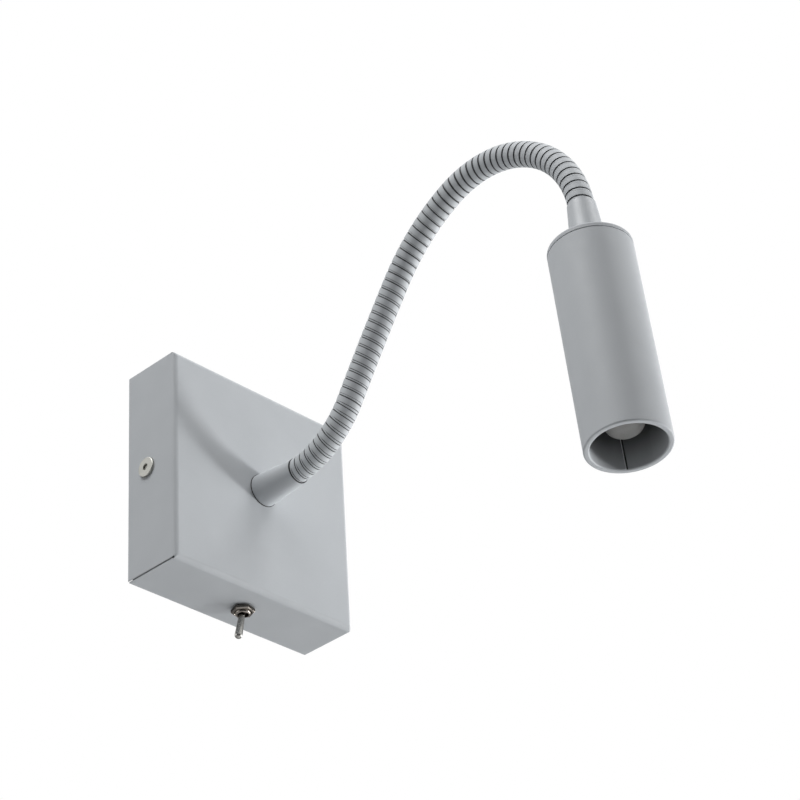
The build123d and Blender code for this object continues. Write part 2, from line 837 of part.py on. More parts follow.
def head_tube():
    """Open tube with a rounded rim and a seam along its inner wall."""
    top = -CAP_DISC - CAP_GROOVE
    inner = HEAD_RADIUS - HEAD_WALL
    tube = turned([(inner, top), (HEAD_RADIUS, top), (HEAD_RADIUS, -HEAD_LENGTH), (inner, -HEAD_LENGTH)])
    tube = fillet(tube.edges().group_by(Axis.Z)[0], RIM_ROUND)
    seam = block(
        inner - HEAD_WALL,
        inner + TUBE_SEAM_DEPTH,
        -TUBE_SEAM_WIDTH / 2,
        TUBE_SEAM_WIDTH / 2,
        -HEAD_LENGTH - HEAD_WALL,
        top - CAP_SPIGOT,
    )
    tube -= Rot(0, 0, TUBE_SEAM_ANGLE) * seam
    return head_plane() * tube


def socket_bracket():
    """Strip bent to a U, clamped under the head's locknut, that carries the lampholder."""
    half = SOCKET_WIDTH / 2 + SLIP
    wide = HOLDER_WIDTH / 2
    outer = half + HOLDER_SHEET
    top = -CAP_DISC
    strip = block(-outer, outer, -wide - HOLDER_FOOT, wide + HOLDER_FOOT, top - HOLDER_SHEET, top)
    for side in (-1, 1):
        low, high = sorted((side * half, side * outer))
        strip += block(low, high, -wide, wide, -HOLDER_DROP, top)
    strip -= rod(NIPPLE_RADIUS + SLIP, (0, 0, -HOLDER_DROP), (0, 0, SHEET))
    drop = -SOCKET_TOP - SOCKET_SCREW_DROP
    strip -= rod(SOCKET_SCREW_RADIUS + SLIP, (-2 * outer, 0, drop), (2 * outer, 0, drop))
    return head_plane() * strip


def lamp_socket():
    """Ceramic lampholder with two pin slots, lead holes and screw holes in its sides."""
    outline = SlotOverall(SOCKET_WIDTH, SOCKET_THICKNESS)
    body = extrude(Plane.XY.offset(-SOCKET_MOUTH) * outline, amount=SOCKET_LENGTH)
    half = SOCKET_WIDTH / 2
    drop = -SOCKET_TOP - SOCKET_SCREW_DROP
    for side in (-1, 1):
        across = side * PIN_SPACING / 2
        body -= block(
            across - PIN_SLOT_WIDTH / 2,
            across + PIN_SLOT_WIDTH / 2,
            -PIN_SLOT_THICKNESS / 2,
            PIN_SLOT_THICKNESS / 2,
            -SOCKET_MOUTH - SHEET,
            -SOCKET_MOUTH + PIN_SLOT_DEPTH,
        )
        body -= rod(
            SOCKET_SCREW_RADIUS + SLIP,
            (side * (half - SOCKET_SCREW_DEPTH), 0, drop),
            (side * (half + SHEET), 0, drop),
        )
    return head_plane() * body


def socket_contacts():
    """Spring contacts in the pin slots."""
    made = []
    for side in (-1, 1):
        across = side * PIN_SPACING / 2
        outer = PIN_SLOT_THICKNESS / 2 - SLIP
        made.append(
            head_plane()
            * block(
                across - PIN_SLOT_WIDTH / 2 + SLIP,
                across + PIN_SLOT_WIDTH / 2 - SLIP,
                outer - CONTACT_THICKNESS,
                outer,
                -SOCKET_MOUTH + SEAT,
                -SOCKET_MOUTH + PIN_SLOT_DEPTH - SLIP,
            )
        )
    return made


def socket_screws():
    """Screws through the bracket's legs into the lampholder."""
    made = []
    outer = SOCKET_WIDTH / 2 + SLIP + HOLDER_SHEET
    inner = SOCKET_WIDTH / 2 - SOCKET_SCREW_DEPTH + SEAT
    drop = -SOCKET_TOP - SOCKET_SCREW_DROP
    for side in (-1, 1):
        frame = Plane(origin=(side * outer, 0, drop), z_dir=(side, 0, 0))
        screw = turned(
            [
                (0, inner - outer),
                (SOCKET_SCREW_RADIUS, inner - outer),
                (SOCKET_SCREW_RADIUS, 0),
                (SOCKET_SCREW_HEAD, 0),
                (SOCKET_SCREW_HEAD, SOCKET_SCREW_RADIUS),
                (0, SOCKET_SCREW_RADIUS),
            ],
            frame,
        )
        made.append(head_plane() * screw)
    return made


def socket_leads():
    """Two leads from the end of the lamp cable to the top of the lampholder."""
    made = []
    start = -LOCKNUT_DROP - CABLE_TAIL - SLIP
    for side in (-1, 1):
        across = side * LEAD_RADIUS
        wire = rod(LEAD_RADIUS - SLIP, (across, 0, start), (across, 0, -SOCKET_TOP + SLIP))
        made.append(head_plane() * wire)
    return made


def bulb_base():
    """Flat insulating base of the bulb."""
    outline = RectangleRounded(BULB_BASE_WIDTH, BULB_BASE_THICKNESS, BULB_WALL)
    top = -SOCKET_MOUTH - SEAT
    body = extrude(Plane.XY.offset(top - BULB_BASE_LENGTH) * outline, amount=BULB_BASE_LENGTH)
    low = top - BULB_BASE_LENGTH
    plug = Plane.XY.offset(low - BULB_OVERLAP) * Circle(BULB_RADIUS - BULB_WALL - SLIP)
    body += extrude(plug, amount=BULB_OVERLAP)
    return head_plane() * body


def bulb_cover():
    """Frosted hollow cover with a domed end."""
    top = -SOCKET_MOUTH - SEAT - BULB_BASE_LENGTH
    cover = turned([(0, top), (BULB_RADIUS, top), (BULB_RADIUS, -BULB_TIP), (0, -BULB_TIP)])
    cover = fillet(cover.edges().group_by(Axis.Z)[0], BULB_TIP_ROUND)
    inside = BULB_RADIUS - BULB_WALL
    deep = BULB_WALL - BULB_TIP
    hollow = turned([(0, top + SHEET), (inside, top + SHEET), (inside, deep), (0, deep)])
    hollow = fillet(hollow.edges().group_by(Axis.Z)[0], BULB_TIP_ROUND - BULB_WALL)
    return head_plane() * (cover - hollow)


def bulb_pins():
    """Two looped contact pins."""
    made = []
    foot = -SOCKET_MOUTH - SEAT
    for side in (-1, 1):
        across = side * PIN_SPACING / 2
        offset = PIN_LOOP / 2
        level = foot + PIN_LENGTH - offset
        legs = Wire(
            [
                Edge.make_line((across - offset, 0, foot), (across - offset, 0, level)),
                Edge.make_three_point_arc(
                    (across - offset, 0, level),
                    (across, 0, level + offset),
                    (across + offset, 0, level),
                ),
                Edge.make_line((across + offset, 0, level), (across + offset, 0, foot)),
            ]
        )
        start = Plane(origin=(across - offset, 0, foot), z_dir=(0, 0, 1))
        made.append(head_plane() * sweep(start * Circle(PIN_RADIUS), legs))
    return made


def all_parts():
    """Every piece by its node name."""
    upper = head_plane()
    base = base_plane()
    parts = {
        "cover_shell": cover_shell(),
        "cover_screws": cover_screws(),
        "wall_bracket": wall_bracket(),
        "entry_grommet": entry_grommet(),
        "terminal_housing": terminal_housing(),
        "terminal_clamps": terminal_clamps(),
        "terminal_screws": terminal_screws(),
        "earth_screw": earth_screw(),
        "base_ferrule": ferrule(base, BASE_FERRULE_LENGTH, BASE_FERRULE_RADIUS, BASE_FREE_END),
        "base_nipple": nipple(base, SHEET + WASHER_HEIGHT + LOCKNUT_HEIGHT + SHEET),
        "base_washer": base_washer(),
        "base_locknut": locknut(base, SHEET + WASHER_HEIGHT),
        "switch_body": switch_body(),
        "switch_bushing": switch_bushing(),
        "switch_washer": switch_washer(),
        "switch_nut": switch_nut(),
        "switch_lugs": switch_lugs(),
        "toggle_lever": toggle_lever(),
        "live_lead": live_lead(),
        "switched_lead": switched_lead(),
        "neutral_lead": neutral_lead(),
        "earth_lead": earth_lead(),
        "neck_cable": neck_cable(),
        "upper_ferrule": ferrule(upper, UPPER_FERRULE_LENGTH, UPPER_FERRULE_RADIUS, UPPER_FREE_END),
        "head_nipple": nipple(upper, LOCKNUT_DROP + SHEET),
        "head_locknut": locknut(upper, CAP_DISC + HOLDER_SHEET),
        "head_cap": head_cap(),
        "head_tube": head_tube(),
        "socket_bracket": socket_bracket(),
        "lamp_socket": lamp_socket(),
        "socket_contacts": socket_contacts(),
        "socket_screws": socket_screws(),
        "socket_leads": socket_leads(),
        "bulb_base": bulb_base(),
        "bulb_cover": bulb_cover(),
        "bulb_pins": bulb_pins(),
    }
    core = link_core()
    winding = link_winding()
    for number in range(LINKS):
        frame = link_plane(number)
        parts[f"neck_link_{number + 1:02d}"] = [frame * core, frame * winding]
    return parts


def main():
    os.makedirs("parts", exist_ok=True)
    print("winding, least gap to itself in mm:", round(winding_gap(), 3))
    for name, shape in all_parts().items():
        if isinstance(shape, list):
            shape = Compound(children=shape)
        export_step(shape, f"parts/{name}.step")


if __name__ == "__main__":
    main()
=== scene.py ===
import bmesh
import bpy
import json
import math
from mathutils import Matrix, Vector

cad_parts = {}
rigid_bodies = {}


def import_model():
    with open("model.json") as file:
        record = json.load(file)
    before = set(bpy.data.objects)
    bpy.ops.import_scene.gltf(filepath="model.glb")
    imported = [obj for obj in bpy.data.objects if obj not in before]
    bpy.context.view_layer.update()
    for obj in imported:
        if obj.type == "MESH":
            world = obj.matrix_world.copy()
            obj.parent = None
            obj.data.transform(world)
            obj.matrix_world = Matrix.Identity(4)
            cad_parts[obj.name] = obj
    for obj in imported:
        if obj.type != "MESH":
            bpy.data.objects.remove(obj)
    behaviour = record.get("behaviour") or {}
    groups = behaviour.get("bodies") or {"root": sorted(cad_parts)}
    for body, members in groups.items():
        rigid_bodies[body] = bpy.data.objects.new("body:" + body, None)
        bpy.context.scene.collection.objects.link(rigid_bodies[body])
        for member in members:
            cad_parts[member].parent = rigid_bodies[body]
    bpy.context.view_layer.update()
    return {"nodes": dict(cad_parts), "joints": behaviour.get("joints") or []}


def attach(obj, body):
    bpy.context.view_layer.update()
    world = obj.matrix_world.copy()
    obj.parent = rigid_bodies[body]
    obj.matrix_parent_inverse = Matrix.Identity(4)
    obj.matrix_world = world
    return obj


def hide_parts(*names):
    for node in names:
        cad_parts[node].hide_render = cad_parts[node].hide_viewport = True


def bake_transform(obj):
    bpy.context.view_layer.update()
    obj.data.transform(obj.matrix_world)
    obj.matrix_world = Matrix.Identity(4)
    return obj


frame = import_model()
nodes = frame["nodes"]

# Wall reading lamp, dressed around its CAD frame. Sizes are in millimetres, scene units are metres
MM = 0.001

# Camera of the photograph
CAMERA_PLACE = (-0.57886, -0.63137, -0.50522)
CAMERA_AZIMUTH = -47.417
CAMERA_ELEVATION = -32.987
CAMERA_ROLL = -3.612
CAMERA_LENS = 115.284
CAMERA_SENSOR = 36.0

# Neck winding: a wide flat band, with a narrow band and two gaps between its turns
LINK_LENGTH = 9.6
STEPS_PER_TURN = 60
FIRST_TURN = -0.35
BAND_SHARE = 0.66
BAND_RADIUS = 4.86
BAND_CROWN = 0.015
EDGE_ROUND = 0.05
GROOVE_DEPTH = 0.4
MAIN_GAP = 0.38
BENT_GAP = 0.50
TIGHT_GAP = 0.78
STRETCHED_GAP = 0.62
SECOND_GAP = 0.27
SECOND_FADE = 0.5
WIRE_LEAST_WIDTH = 0.05
WIRE_SINK = 0.01
BAND_FACE_SHARES = (-1.0, -0.6, 0.0, 0.6, 1.0)
BAND_LEAD = 0.0
WIRE_LEAD = 0.5
BENT_CURLS = (0.03, 0.10)
TIGHT_CURLS = (0.03, 0.08)
WIDE_CURLS = (0.05, 0.10)
TIGHT_CLOSING = 0.95
OPEN_SQUEEZE = -0.07
CLOSED_SQUEEZE = -0.01
STRETCHED_SQUEEZE = -0.06
LINER_RADIUS = 4.55
LINER_BORE_RADIUS = 3.4
LINER_ROWS = 8
LINER_SIDES = 32

# Spans of a bend, as shares of its length
WHOLE = (0.0, 1.0)
NEAR_HALF = (0.0, 0.5)
FAR_HALF = (0.5, 1.0)

# Bends that are split at their joint, because a blended piece can tear behind a sideways bend
SPLIT_BENDS = ("neck_rise", "neck_crown", "neck_far", "neck_head")

# Pitch of the winding at lengths along the neck
PITCHES = [
    (0.0, 2.82),
    (25.0, 2.87),
    (45.0, 3.36),
    (78.0, 3.36),
    (100.0, 3.18),
    (140.0, 3.01),
    (165.0, 3.28),
    (195.0, 3.53),
]

# Head frame, from the top of its cap
HEAD_TOP = (0.0, -193.59, 21.2)
HEAD_HEADING = -85.5
HEAD_INNER_RADIUS = 13.2
HEAD_LENGTH = 84.9
# Painted shade on the wall inside the head: how far in from the mouth it deepens, its shades deep in and at
# the mouth, and how far past the inner radius it gives way to the outside paint
INSIDE_FADE_LENGTH = 13.0
INSIDE_DEEP_SHADE = 0.38
INSIDE_MOUTH_SHADE = 1.6
INSIDE_SHADE_EDGE = (0.1, 0.35)
TUBE_SEAM_ANGLE = 43.0
TUBE_SEAM_START = 40.0
TUBE_SEAM_END = 84.5
# Seam strips, across and out from the axis: the dark joint in painted shade, and the pale edge in painted
# highlight
SEAM_JOINT_SIDES = (-0.28, 0.28)
SEAM_JOINT_RADII = (13.17, 13.39)
SEAM_HIGHLIGHT_SIDES = (0.3, 0.55)
SEAM_HIGHLIGHT_RADII = (13.0, 13.3)

# Ferrules
BOX_FRONT_Y = -26.0
BASE_FERRULE_LENGTH = 19.0
# Dark rings of painted shade: the shadow line under the base ferrule, and the gap at its mouth
SHADE_RING_RADII = (6.2, 6.72)
SHADE_RING_HEIGHT = 0.3
MOUTH_SHADE_RADII = (4.7, 5.1)
MOUTH_SHADE_REACH = (-0.4, 0.25)
RING_SIDES = 96

# Wall box
BOX_WIDTH = 90.0
SHEET = 1.2
TAB_LEG = 5.0
TAB_SHEET = 0.5
TAB_FRONT_Y = -24.0
TAB_BACK_Y = -1.0
TAB_CLEARANCE = 0.05

# Toggle switch in the bottom face, heights measured down from that face
SWITCH_PLACE = (0.0, -13.0, -45.0)
NUT_FLATS = 8.0
NUT_CORNER_RADIUS = 4.56
NUT_HEIGHT = 2.35
NUT_SEAT_HEIGHT = 0.9
NUT_SEAT_RADIUS = 3.15
NUT_BORE_RADIUS = 3.0
NUT_BEVEL = 0.4
NUT_TURN = 42.6
NUT_STEPS = 240
# Faces of the nut's section, from the box out, that carry painted shade
NUT_SHADED_FACES = 4
NUT_SHARP_ANGLE = 20.0
BUSHING_TOP = -2.6
BUSHING_RADIUS = 2.93
BUSHING_BORE_RADIUS = 2.05
BUSHING_END = 3.2
BUSHING_ROUND_WIDTH = 0.72
BUSHING_ROUND_HEIGHT = 1.0
BUSHING_ROUND_STEPS = 9
BUSHING_LIP = 0.1
BUSHING_BORE_FACES = 2
BUSHING_SHARP_ANGLE = 50.0
LEVER_PIVOT = (0.0, -13.0, -46.3)
LEVER_BALL_RADIUS = 1.85
# Reach of the painted shade on the lever, past its ball inside the bushing
LEVER_SHADE_EDGE = (0.1, 0.8)
THREAD_PITCH = 0.64
THREAD_DEPTH = 0.16
THREAD_ROWS = 10
THREAD_END_GAP = 0.05
BUSHING_STEPS = 96

# Leads, by the routes of the CAD model
LEAD_RADIUS = 0.9
CABLE_RADIUS = 1.6
LIVE_ROUTE = [
    (-8.0, -6.5, 9.4),
    (-8.0, -6.5, 1.5),
    (-9.4, -6.5, -7.5),
    (-4.7, -13.0, -19.4),
    (-4.7, -13.0, -28.35),
]
SWITCHED_ROUTE = [(0.0, -13.0, -28.35), (0.0, -13.0, -0.95), (0.0, -18.45, -0.95)]
NEUTRAL_ROUTE = [(0.0, -6.5, 9.4), (0.0, -6.5, 0.95), (0.0, -18.45, 0.95)]
EARTH_ROUTE = [
    (8.0, -6.5, 20.6),
    (8.0, -6.5, 28.5),
    (-28.0, -6.5, 28.5),
    (-28.0, -2.45, 24.6),
    (-28.0, -2.45, 18.65),
]
CABLE_ROUTE = [(0.0, -40.0, 0.0), (0.0, -28.0, 0.3), (0.0, -18.5, 0.0)]
HEAD_CABLE_DROPS = (-12.0, 0.0, 8.5)
HEAD_CABLE_BOW = 0.3
SOCKET_WIRE_DROPS = (8.55, 11.8, 14.95)
SOCKET_WIRE_BOW = 0.4
SOCKET_WIRE_SIDE = 0.9
LEAD_SIDE_STEPS = 6
LEAD_CURVE_ORDER = 3

# Studio, in metres
STUDIO_AIM = (0.0, -0.11, 0.0)
LIGHT_DISTANCE = 1.4
CARD_DISTANCE = 1.25
CARD_RADIUS = 1.6
CARD_SIDES = 48
FLOOR_DROP = 0.9
FLOOR_HALF = 8.0
FLOOR_CLOUD_SCALE = 3.0
FLOOR_ROUGHNESS = 0.9
FLOOR_PALE = (0.84, 0.84, 0.84)
FLOOR_DEEP = (0.80, 0.80, 0.80)
WHITE = (1.0, 1.0, 1.0, 1.0)
AMBIENT_COLOUR = (0.97, 0.985, 1.0, 1.0)
AMBIENT_LEVEL = 0.12

# Soft boxes: name, direction from the lamp, width in metres and level
SOFT_BOXES = [
    ("key", (0.738, -0.642, -0.21), 0.25, 0.50),
    ("right", (0.974, -0.171, -0.15), 0.9, 0.74),
    ("top_left", (-0.573, -0.009, 0.819), 0.9, 0.85),
    ("top_right", (0.253, -0.383, 0.888), 0.9, 0.55),
    ("back_left", (-0.80, 0.60, 0.0), 0.9, 0.11),
]

# Materials: scales of their noises per metre, the part of a noise that is used, and relief in millimetres
NOISE_RANGE = (0.3, 0.7)
NOISE_DETAIL = 3.0
SOFT_DETAIL = 2.0
PAINT_CLOUD_SCALE = 45.0
PAINT_CLOUD_RANGE = (0.35, 0.65)
PAINT_SPECKLE_SCALE = 2600.0
PAINT_SPECKLE = (0.985, 1.015)
PAINT_GLOSS_SCALE = 160.0
PAINT_PEEL_SCALE = 900.0
PAINT_PEEL_STRENGTH = 0.12
PAINT_PEEL_DEPTH = 0.05
INSIDE_CLOUD_SCALE = 70.0
METAL_CLOUD_SCALE = 220.0
METAL_EDGE_TINT = (0.62, 0.61, 0.60, 1.0)
METAL_MARK_ROUGHNESS = 0.6
METAL_MARK_STRENGTH = 0.1
METAL_MARK_DEPTH = 0.02
LEVER_STRETCH = (1.0, 1.0, 0.1)
LEVER_CLOUD_SCALE = 400.0
MOULD_CLOUD_SCALE = 120.0
MOULD_SPECKLE_SCALE = 3000.0
MOULD_SPECKLE = (0.96, 1.04)
MOULD_GLOSS_SCALE = 300.0
MOULD_SKIN_DEPTH = 0.05
FROST_GRAIN = 2200.0
FROST_RELIEF = 0.15
FROST_SUBSURFACE = 0.25
FROST_SUBSURFACE_REACH = (0.002, 0.002, 0.002)


def place(point):
    """Millimetres to scene units."""
    return Vector(point) * MM


def head_direction():
    """Direction in which the neck enters the head."""
    up = math.radians(HEAD_HEADING)
    return Vector((0, -math.cos(up), math.sin(up)))


# Node graph helpers

def new_material(name):
    """Material with an empty node tree, its shader and its output."""
    made = bpy.data.materials.new(name)
    made.use_nodes = True
    tree = made.node_tree
    tree.nodes.clear()
    shader = tree.nodes.new("ShaderNodeBsdfPrincipled")
    output = tree.nodes.new("ShaderNodeOutputMaterial")
    tree.links.new(shader.outputs["BSDF"], output.inputs["Surface"])
    return made, tree, shader


def object_place(tree):
    """Place of the surface in the piece's own coordinates."""
    return tree.nodes.new("ShaderNodeTexCoord").outputs["Object"]


def noise(tree, scale, detail=NOISE_DETAIL, roughness=0.5, stretch=None):
    """Noise over the piece's own coordinates, optionally stretched along its axes."""
    source = object_place(tree)
    if stretch:
        mapping = tree.nodes.new("ShaderNodeMapping")
        mapping.inputs["Scale"].default_value = stretch
        tree.links.new(source, mapping.inputs["Vector"])
        source = mapping.outputs["Vector"]
    texture = tree.nodes.new("ShaderNodeTexNoise")
    texture.inputs["Scale"].default_value = scale
    texture.inputs["Detail"].default_value = detail
    texture.inputs["Roughness"].default_value = roughness
    tree.links.new(source, texture.inputs["Vector"])
    return texture.outputs["Fac"]


def clouds(tree, scale, deep, pale, span=NOISE_RANGE, detail=NOISE_DETAIL):
    """Two colours that run into each other by a noise."""
    node = tree.nodes.new("ShaderNodeValToRGB")
    for element, position, colour in zip(node.color_ramp.elements, span, (deep, pale)):
        element.position = position
        element.color = (*colour, 1.0)
    tree.links.new(noise(tree, scale, detail), node.inputs["Fac"])
    return node.outputs["Color"]


def map_range(tree, value, given, wanted=(0.0, 1.0)):
    """Value carried from one range to another and held at its ends."""
    node = tree.nodes.new("ShaderNodeMapRange")
    node.inputs["From Min"].default_value = given[0]
    node.inputs["From Max"].default_value = given[1]
    node.inputs["To Min"].default_value = wanted[0]
    node.inputs["To Max"].default_value = wanted[1]
    tree.links.new(value, node.inputs["Value"])
    return node.outputs["Result"]


def vector_math(tree, operation, linked, fixed=None):
    """Vector node with a linked first input and a fixed second one."""
    node = tree.nodes.new("ShaderNodeVectorMath")
    node.operation = operation
    tree.links.new(linked, node.inputs[0])
    if fixed is not None:
        node.inputs[1].default_value = fixed
    return node.outputs


def multiply(tree, colour, shade):
    """Colour made darker or lighter by a shade."""
    node = tree.nodes.new("ShaderNodeMix")
    node.data_type = "RGBA"
    node.blend_type = "MULTIPLY"
    node.inputs["Factor"].default_value = 1.0
    tree.links.new(colour, node.inputs["A"])
    tree.links.new(shade, node.inputs["B"])
    return node.outputs["Result"]


def choose(tree, factor, first, second):
    """First colour where the factor is 0, second where it is 1."""
    node = tree.nodes.new("ShaderNodeMix")
    node.data_type = "RGBA"
    tree.links.new(factor, node.inputs["Factor"])
    tree.links.new(first, node.inputs["A"])
    tree.links.new(second, node.inputs["B"])
    return node.outputs["Result"]


def bump(tree, shader, height, strength, distance):
    """Fine relief from a noise."""
    node = tree.nodes.new("ShaderNodeBump")
    node.inputs["Strength"].default_value = strength
    node.inputs["Distance"].default_value = distance * MM
    tree.links.new(height, node.inputs["Height"])
    tree.links.new(node.outputs["Normal"], shader.inputs["Normal"])


# Materials

def paint_material(name, pale, deep, rough=(0.52, 0.62), sheen=0.5):
    """Satin sprayed paint: faint clouding, fine speckle and orange peel."""
    made, tree, shader = new_material(name)
    shader.inputs["Specular IOR Level"].default_value = sheen
    colour = clouds(tree, PAINT_CLOUD_SCALE, deep, pale, PAINT_CLOUD_RANGE, SOFT_DETAIL)
    speckle = map_range(tree, noise(tree, PAINT_SPECKLE_SCALE, SOFT_DETAIL), NOISE_RANGE, PAINT_SPECKLE)
    tree.links.new(multiply(tree, colour, speckle), shader.inputs["Base Color"])
    gloss = map_range(tree, noise(tree, PAINT_GLOSS_SCALE), NOISE_RANGE, rough)
    tree.links.new(gloss, shader.inputs["Roughness"])
    peel = noise(tree, PAINT_PEEL_SCALE, SOFT_DETAIL)
    bump(tree, shader, peel, PAINT_PEEL_STRENGTH, PAINT_PEEL_DEPTH)
    return made


def from_head_top(tree):
    """Place of the surface measured from the top of the head."""
    return vector_math(tree, "SUBTRACT", object_place(tree), place(HEAD_TOP))["Vector"]


def head_distance(tree):
    """Distance of the surface from the head's axis, in metres."""
    across = vector_math(tree, "CROSS_PRODUCT", from_head_top(tree), head_direction())["Vector"]
    return vector_math(tree, "LENGTH", across)["Value"]


def painted_depth_shade(tree, colour):
    """Colour with painted shade, which gets darker from the head's mouth inwards."""
    along = vector_math(tree, "DOT_PRODUCT", from_head_top(tree), head_direction())["Value"]
    reach = ((HEAD_LENGTH - INSIDE_FADE_LENGTH) * MM, HEAD_LENGTH * MM)
    fade = map_range(tree, along, reach, (INSIDE_DEEP_SHADE, INSIDE_MOUTH_SHADE))
    return multiply(tree, colour, fade)


def paint_shade_over(made, edge, dark):
    """Gives a finished material a colour of painted shade on the near side of an edge."""
    tree = made.node_tree
    shader = tree.nodes["Principled BSDF"]
    usual = shader.inputs["Base Color"].links[0].from_socket
    tree.links.new(choose(tree, edge, dark, usual), shader.inputs["Base Color"])


def tube_material(name, outside, inside):
    """Satin paint outside, and painted shade on the wall inside the head's tube: a darker copy of the paint.
    """
    made = paint_material(name, *outside)
    tree = made.node_tree
    edges = [(HEAD_INNER_RADIUS + past) * MM for past in INSIDE_SHADE_EDGE]
    edge = map_range(tree, head_distance(tree), edges)
    dark = painted_depth_shade(tree, clouds(tree, INSIDE_CLOUD_SCALE, inside[1], inside[0]))
    paint_shade_over(made, edge, dark)
    return made


def metal_material(name, pale, deep, rough, stretch=(1.0, 1.0, 1.0), grain=1800.0):
    """Plated or turned metal with fine tool marks, a little darker where it turns away."""
    made, tree, shader = new_material(name)
    shader.inputs["Metallic"].default_value = 1.0
    shader.inputs["Specular Tint"].default_value = METAL_EDGE_TINT
    tree.links.new(clouds(tree, METAL_CLOUD_SCALE, deep, pale), shader.inputs["Base Color"])
    marks = noise(tree, grain, NOISE_DETAIL, METAL_MARK_ROUGHNESS, stretch)
    tree.links.new(map_range(tree, marks, NOISE_RANGE, rough), shader.inputs["Roughness"])
    bump(tree, shader, marks, METAL_MARK_STRENGTH, METAL_MARK_DEPTH)
    return made


def lever_material(name, pale, deep, inside, rough):
    """Turned metal with near-black painted shade around the lever's pivot, inside the bushing."""
    made = metal_material(name, pale, deep, rough, LEVER_STRETCH)
    tree = made.node_tree
    away = vector_math(tree, "DISTANCE", object_place(tree), place(LEVER_PIVOT))["Value"]
    edge = map_range(tree, away, [(LEVER_BALL_RADIUS + past) * MM for past in LEVER_SHADE_EDGE])
    paint_shade_over(made, edge, clouds(tree, LEVER_CLOUD_SCALE, inside[1], inside[0]))
    return made


def moulded_material(name, pale, deep, rough, grain=1400.0, relief=0.1):
    """Moulded plastic, rubber or ceramic with a fine skin."""
    made, tree, shader = new_material(name)
    colour = clouds(tree, MOULD_CLOUD_SCALE, deep, pale)
    speckle = map_range(tree, noise(tree, MOULD_SPECKLE_SCALE, SOFT_DETAIL), NOISE_RANGE, MOULD_SPECKLE)
    tree.links.new(multiply(tree, colour, speckle), shader.inputs["Base Color"])
    gloss = map_range(tree, noise(tree, MOULD_GLOSS_SCALE), NOISE_RANGE, rough)
    tree.links.new(gloss, shader.inputs["Roughness"])
    bump(tree, shader, noise(tree, grain), relief, MOULD_SKIN_DEPTH)
    return made


def frosted_material(name, pale, deep, rough):
    """Frosted bulb cover: milky, with a soft skin."""
    made = moulded_material(name, pale, deep, rough, FROST_GRAIN, FROST_RELIEF)
    shader = made.node_tree.nodes["Principled BSDF"]
    shader.inputs["Subsurface Weight"].default_value = FROST_SUBSURFACE
    shader.inputs["Subsurface Radius"].default_value = FROST_SUBSURFACE_REACH
    return made


PALE_GREY = (0.466, 0.487, 0.507)
DEEP_GREY = (0.448, 0.469, 0.489)
# Darker copies of the grey paint: painted shade inside the head's tube and behind the box's seams
PALE_SHADED_INSIDE = (0.310, 0.322, 0.334)
DEEP_SHADED_INSIDE = (0.280, 0.292, 0.304)
# Near-black painted shade in the bushing's bore and on the lever inside it
PALE_BORE_SHADE = (0.055, 0.045, 0.040)
DEEP_BORE_SHADE = (0.035, 0.030, 0.026)

PAINT = paint_material("grey_paint", PALE_GREY, DEEP_GREY, sheen=0.35)
FERRULE_PAINT = paint_material("ferrule_paint", PALE_GREY, DEEP_GREY, (0.40, 0.48))
TUBE_PAINT_AND_SHADE = tube_material("tube_paint_and_shade", (PALE_GREY, DEEP_GREY), (PALE_SHADED_INSIDE, DEEP_SHADED_INSIDE))
# Darker copy of the grey paint: painted shade on the tabs behind the box's seams
SHADED_INSIDE_PAINT = paint_material("shaded_inside_paint", PALE_SHADED_INSIDE, DEEP_SHADED_INSIDE)
# Near-white paint: a painted highlight along the edge of the seam in the head
SEAM_HIGHLIGHT = paint_material("seam_painted_highlight", (0.78, 0.79, 0.81), (0.70, 0.71, 0.73), (0.35, 0.45))
# The same grey paint, a little paler on the neck: painted light
LIT_NECK_PAINT = paint_material("lit_neck_paint", (0.500, 0.522, 0.542), (0.480, 0.502, 0.522), sheen=0.35)
# Near-black painted shade in the neck's grooves and on its liner
GROOVE_SHADE = moulded_material("neck_groove_shade", (0.060, 0.062, 0.066), (0.035, 0.036, 0.040), (0.6, 0.8))
SCREW_STEEL = metal_material("screw_steel", (0.44, 0.44, 0.41), (0.38, 0.38, 0.355), (0.40, 0.52))
ZINC = metal_material("zinc_steel", (0.60, 0.61, 0.62), (0.46, 0.47, 0.50), (0.32, 0.5), (1.0, 6.0, 1.0))
NICKEL = metal_material("nickel", (0.33, 0.30, 0.27), (0.25, 0.23, 0.21), (0.12, 0.26))
# Darker copy of the nickel: painted shade on the nut's seat and sides
SHADED_NICKEL = metal_material("shaded_nickel", (0.13, 0.12, 0.108), (0.10, 0.092, 0.084), (0.16, 0.3))
# Near-black metal: painted shade in the bushing's bore
SHADED_BORE_METAL = metal_material("shaded_bore_metal", PALE_BORE_SHADE, DEEP_BORE_SHADE, (0.4, 0.55))
LEVER_METAL = lever_material(
    "lever_metal", (0.40, 0.395, 0.375), (0.33, 0.325, 0.31), (PALE_BORE_SHADE, DEEP_BORE_SHADE), (0.2, 0.32)
)
BRASS = metal_material("brass", (0.72, 0.55, 0.27), (0.60, 0.44, 0.20), (0.22, 0.38))
SWITCH_PLASTIC = moulded_material("switch_plastic", (0.035, 0.036, 0.038), (0.02, 0.02, 0.022), (0.4, 0.55))
BLOCK_PLASTIC = moulded_material("block_plastic", (0.72, 0.71, 0.67), (0.64, 0.63, 0.60), (0.42, 0.55))
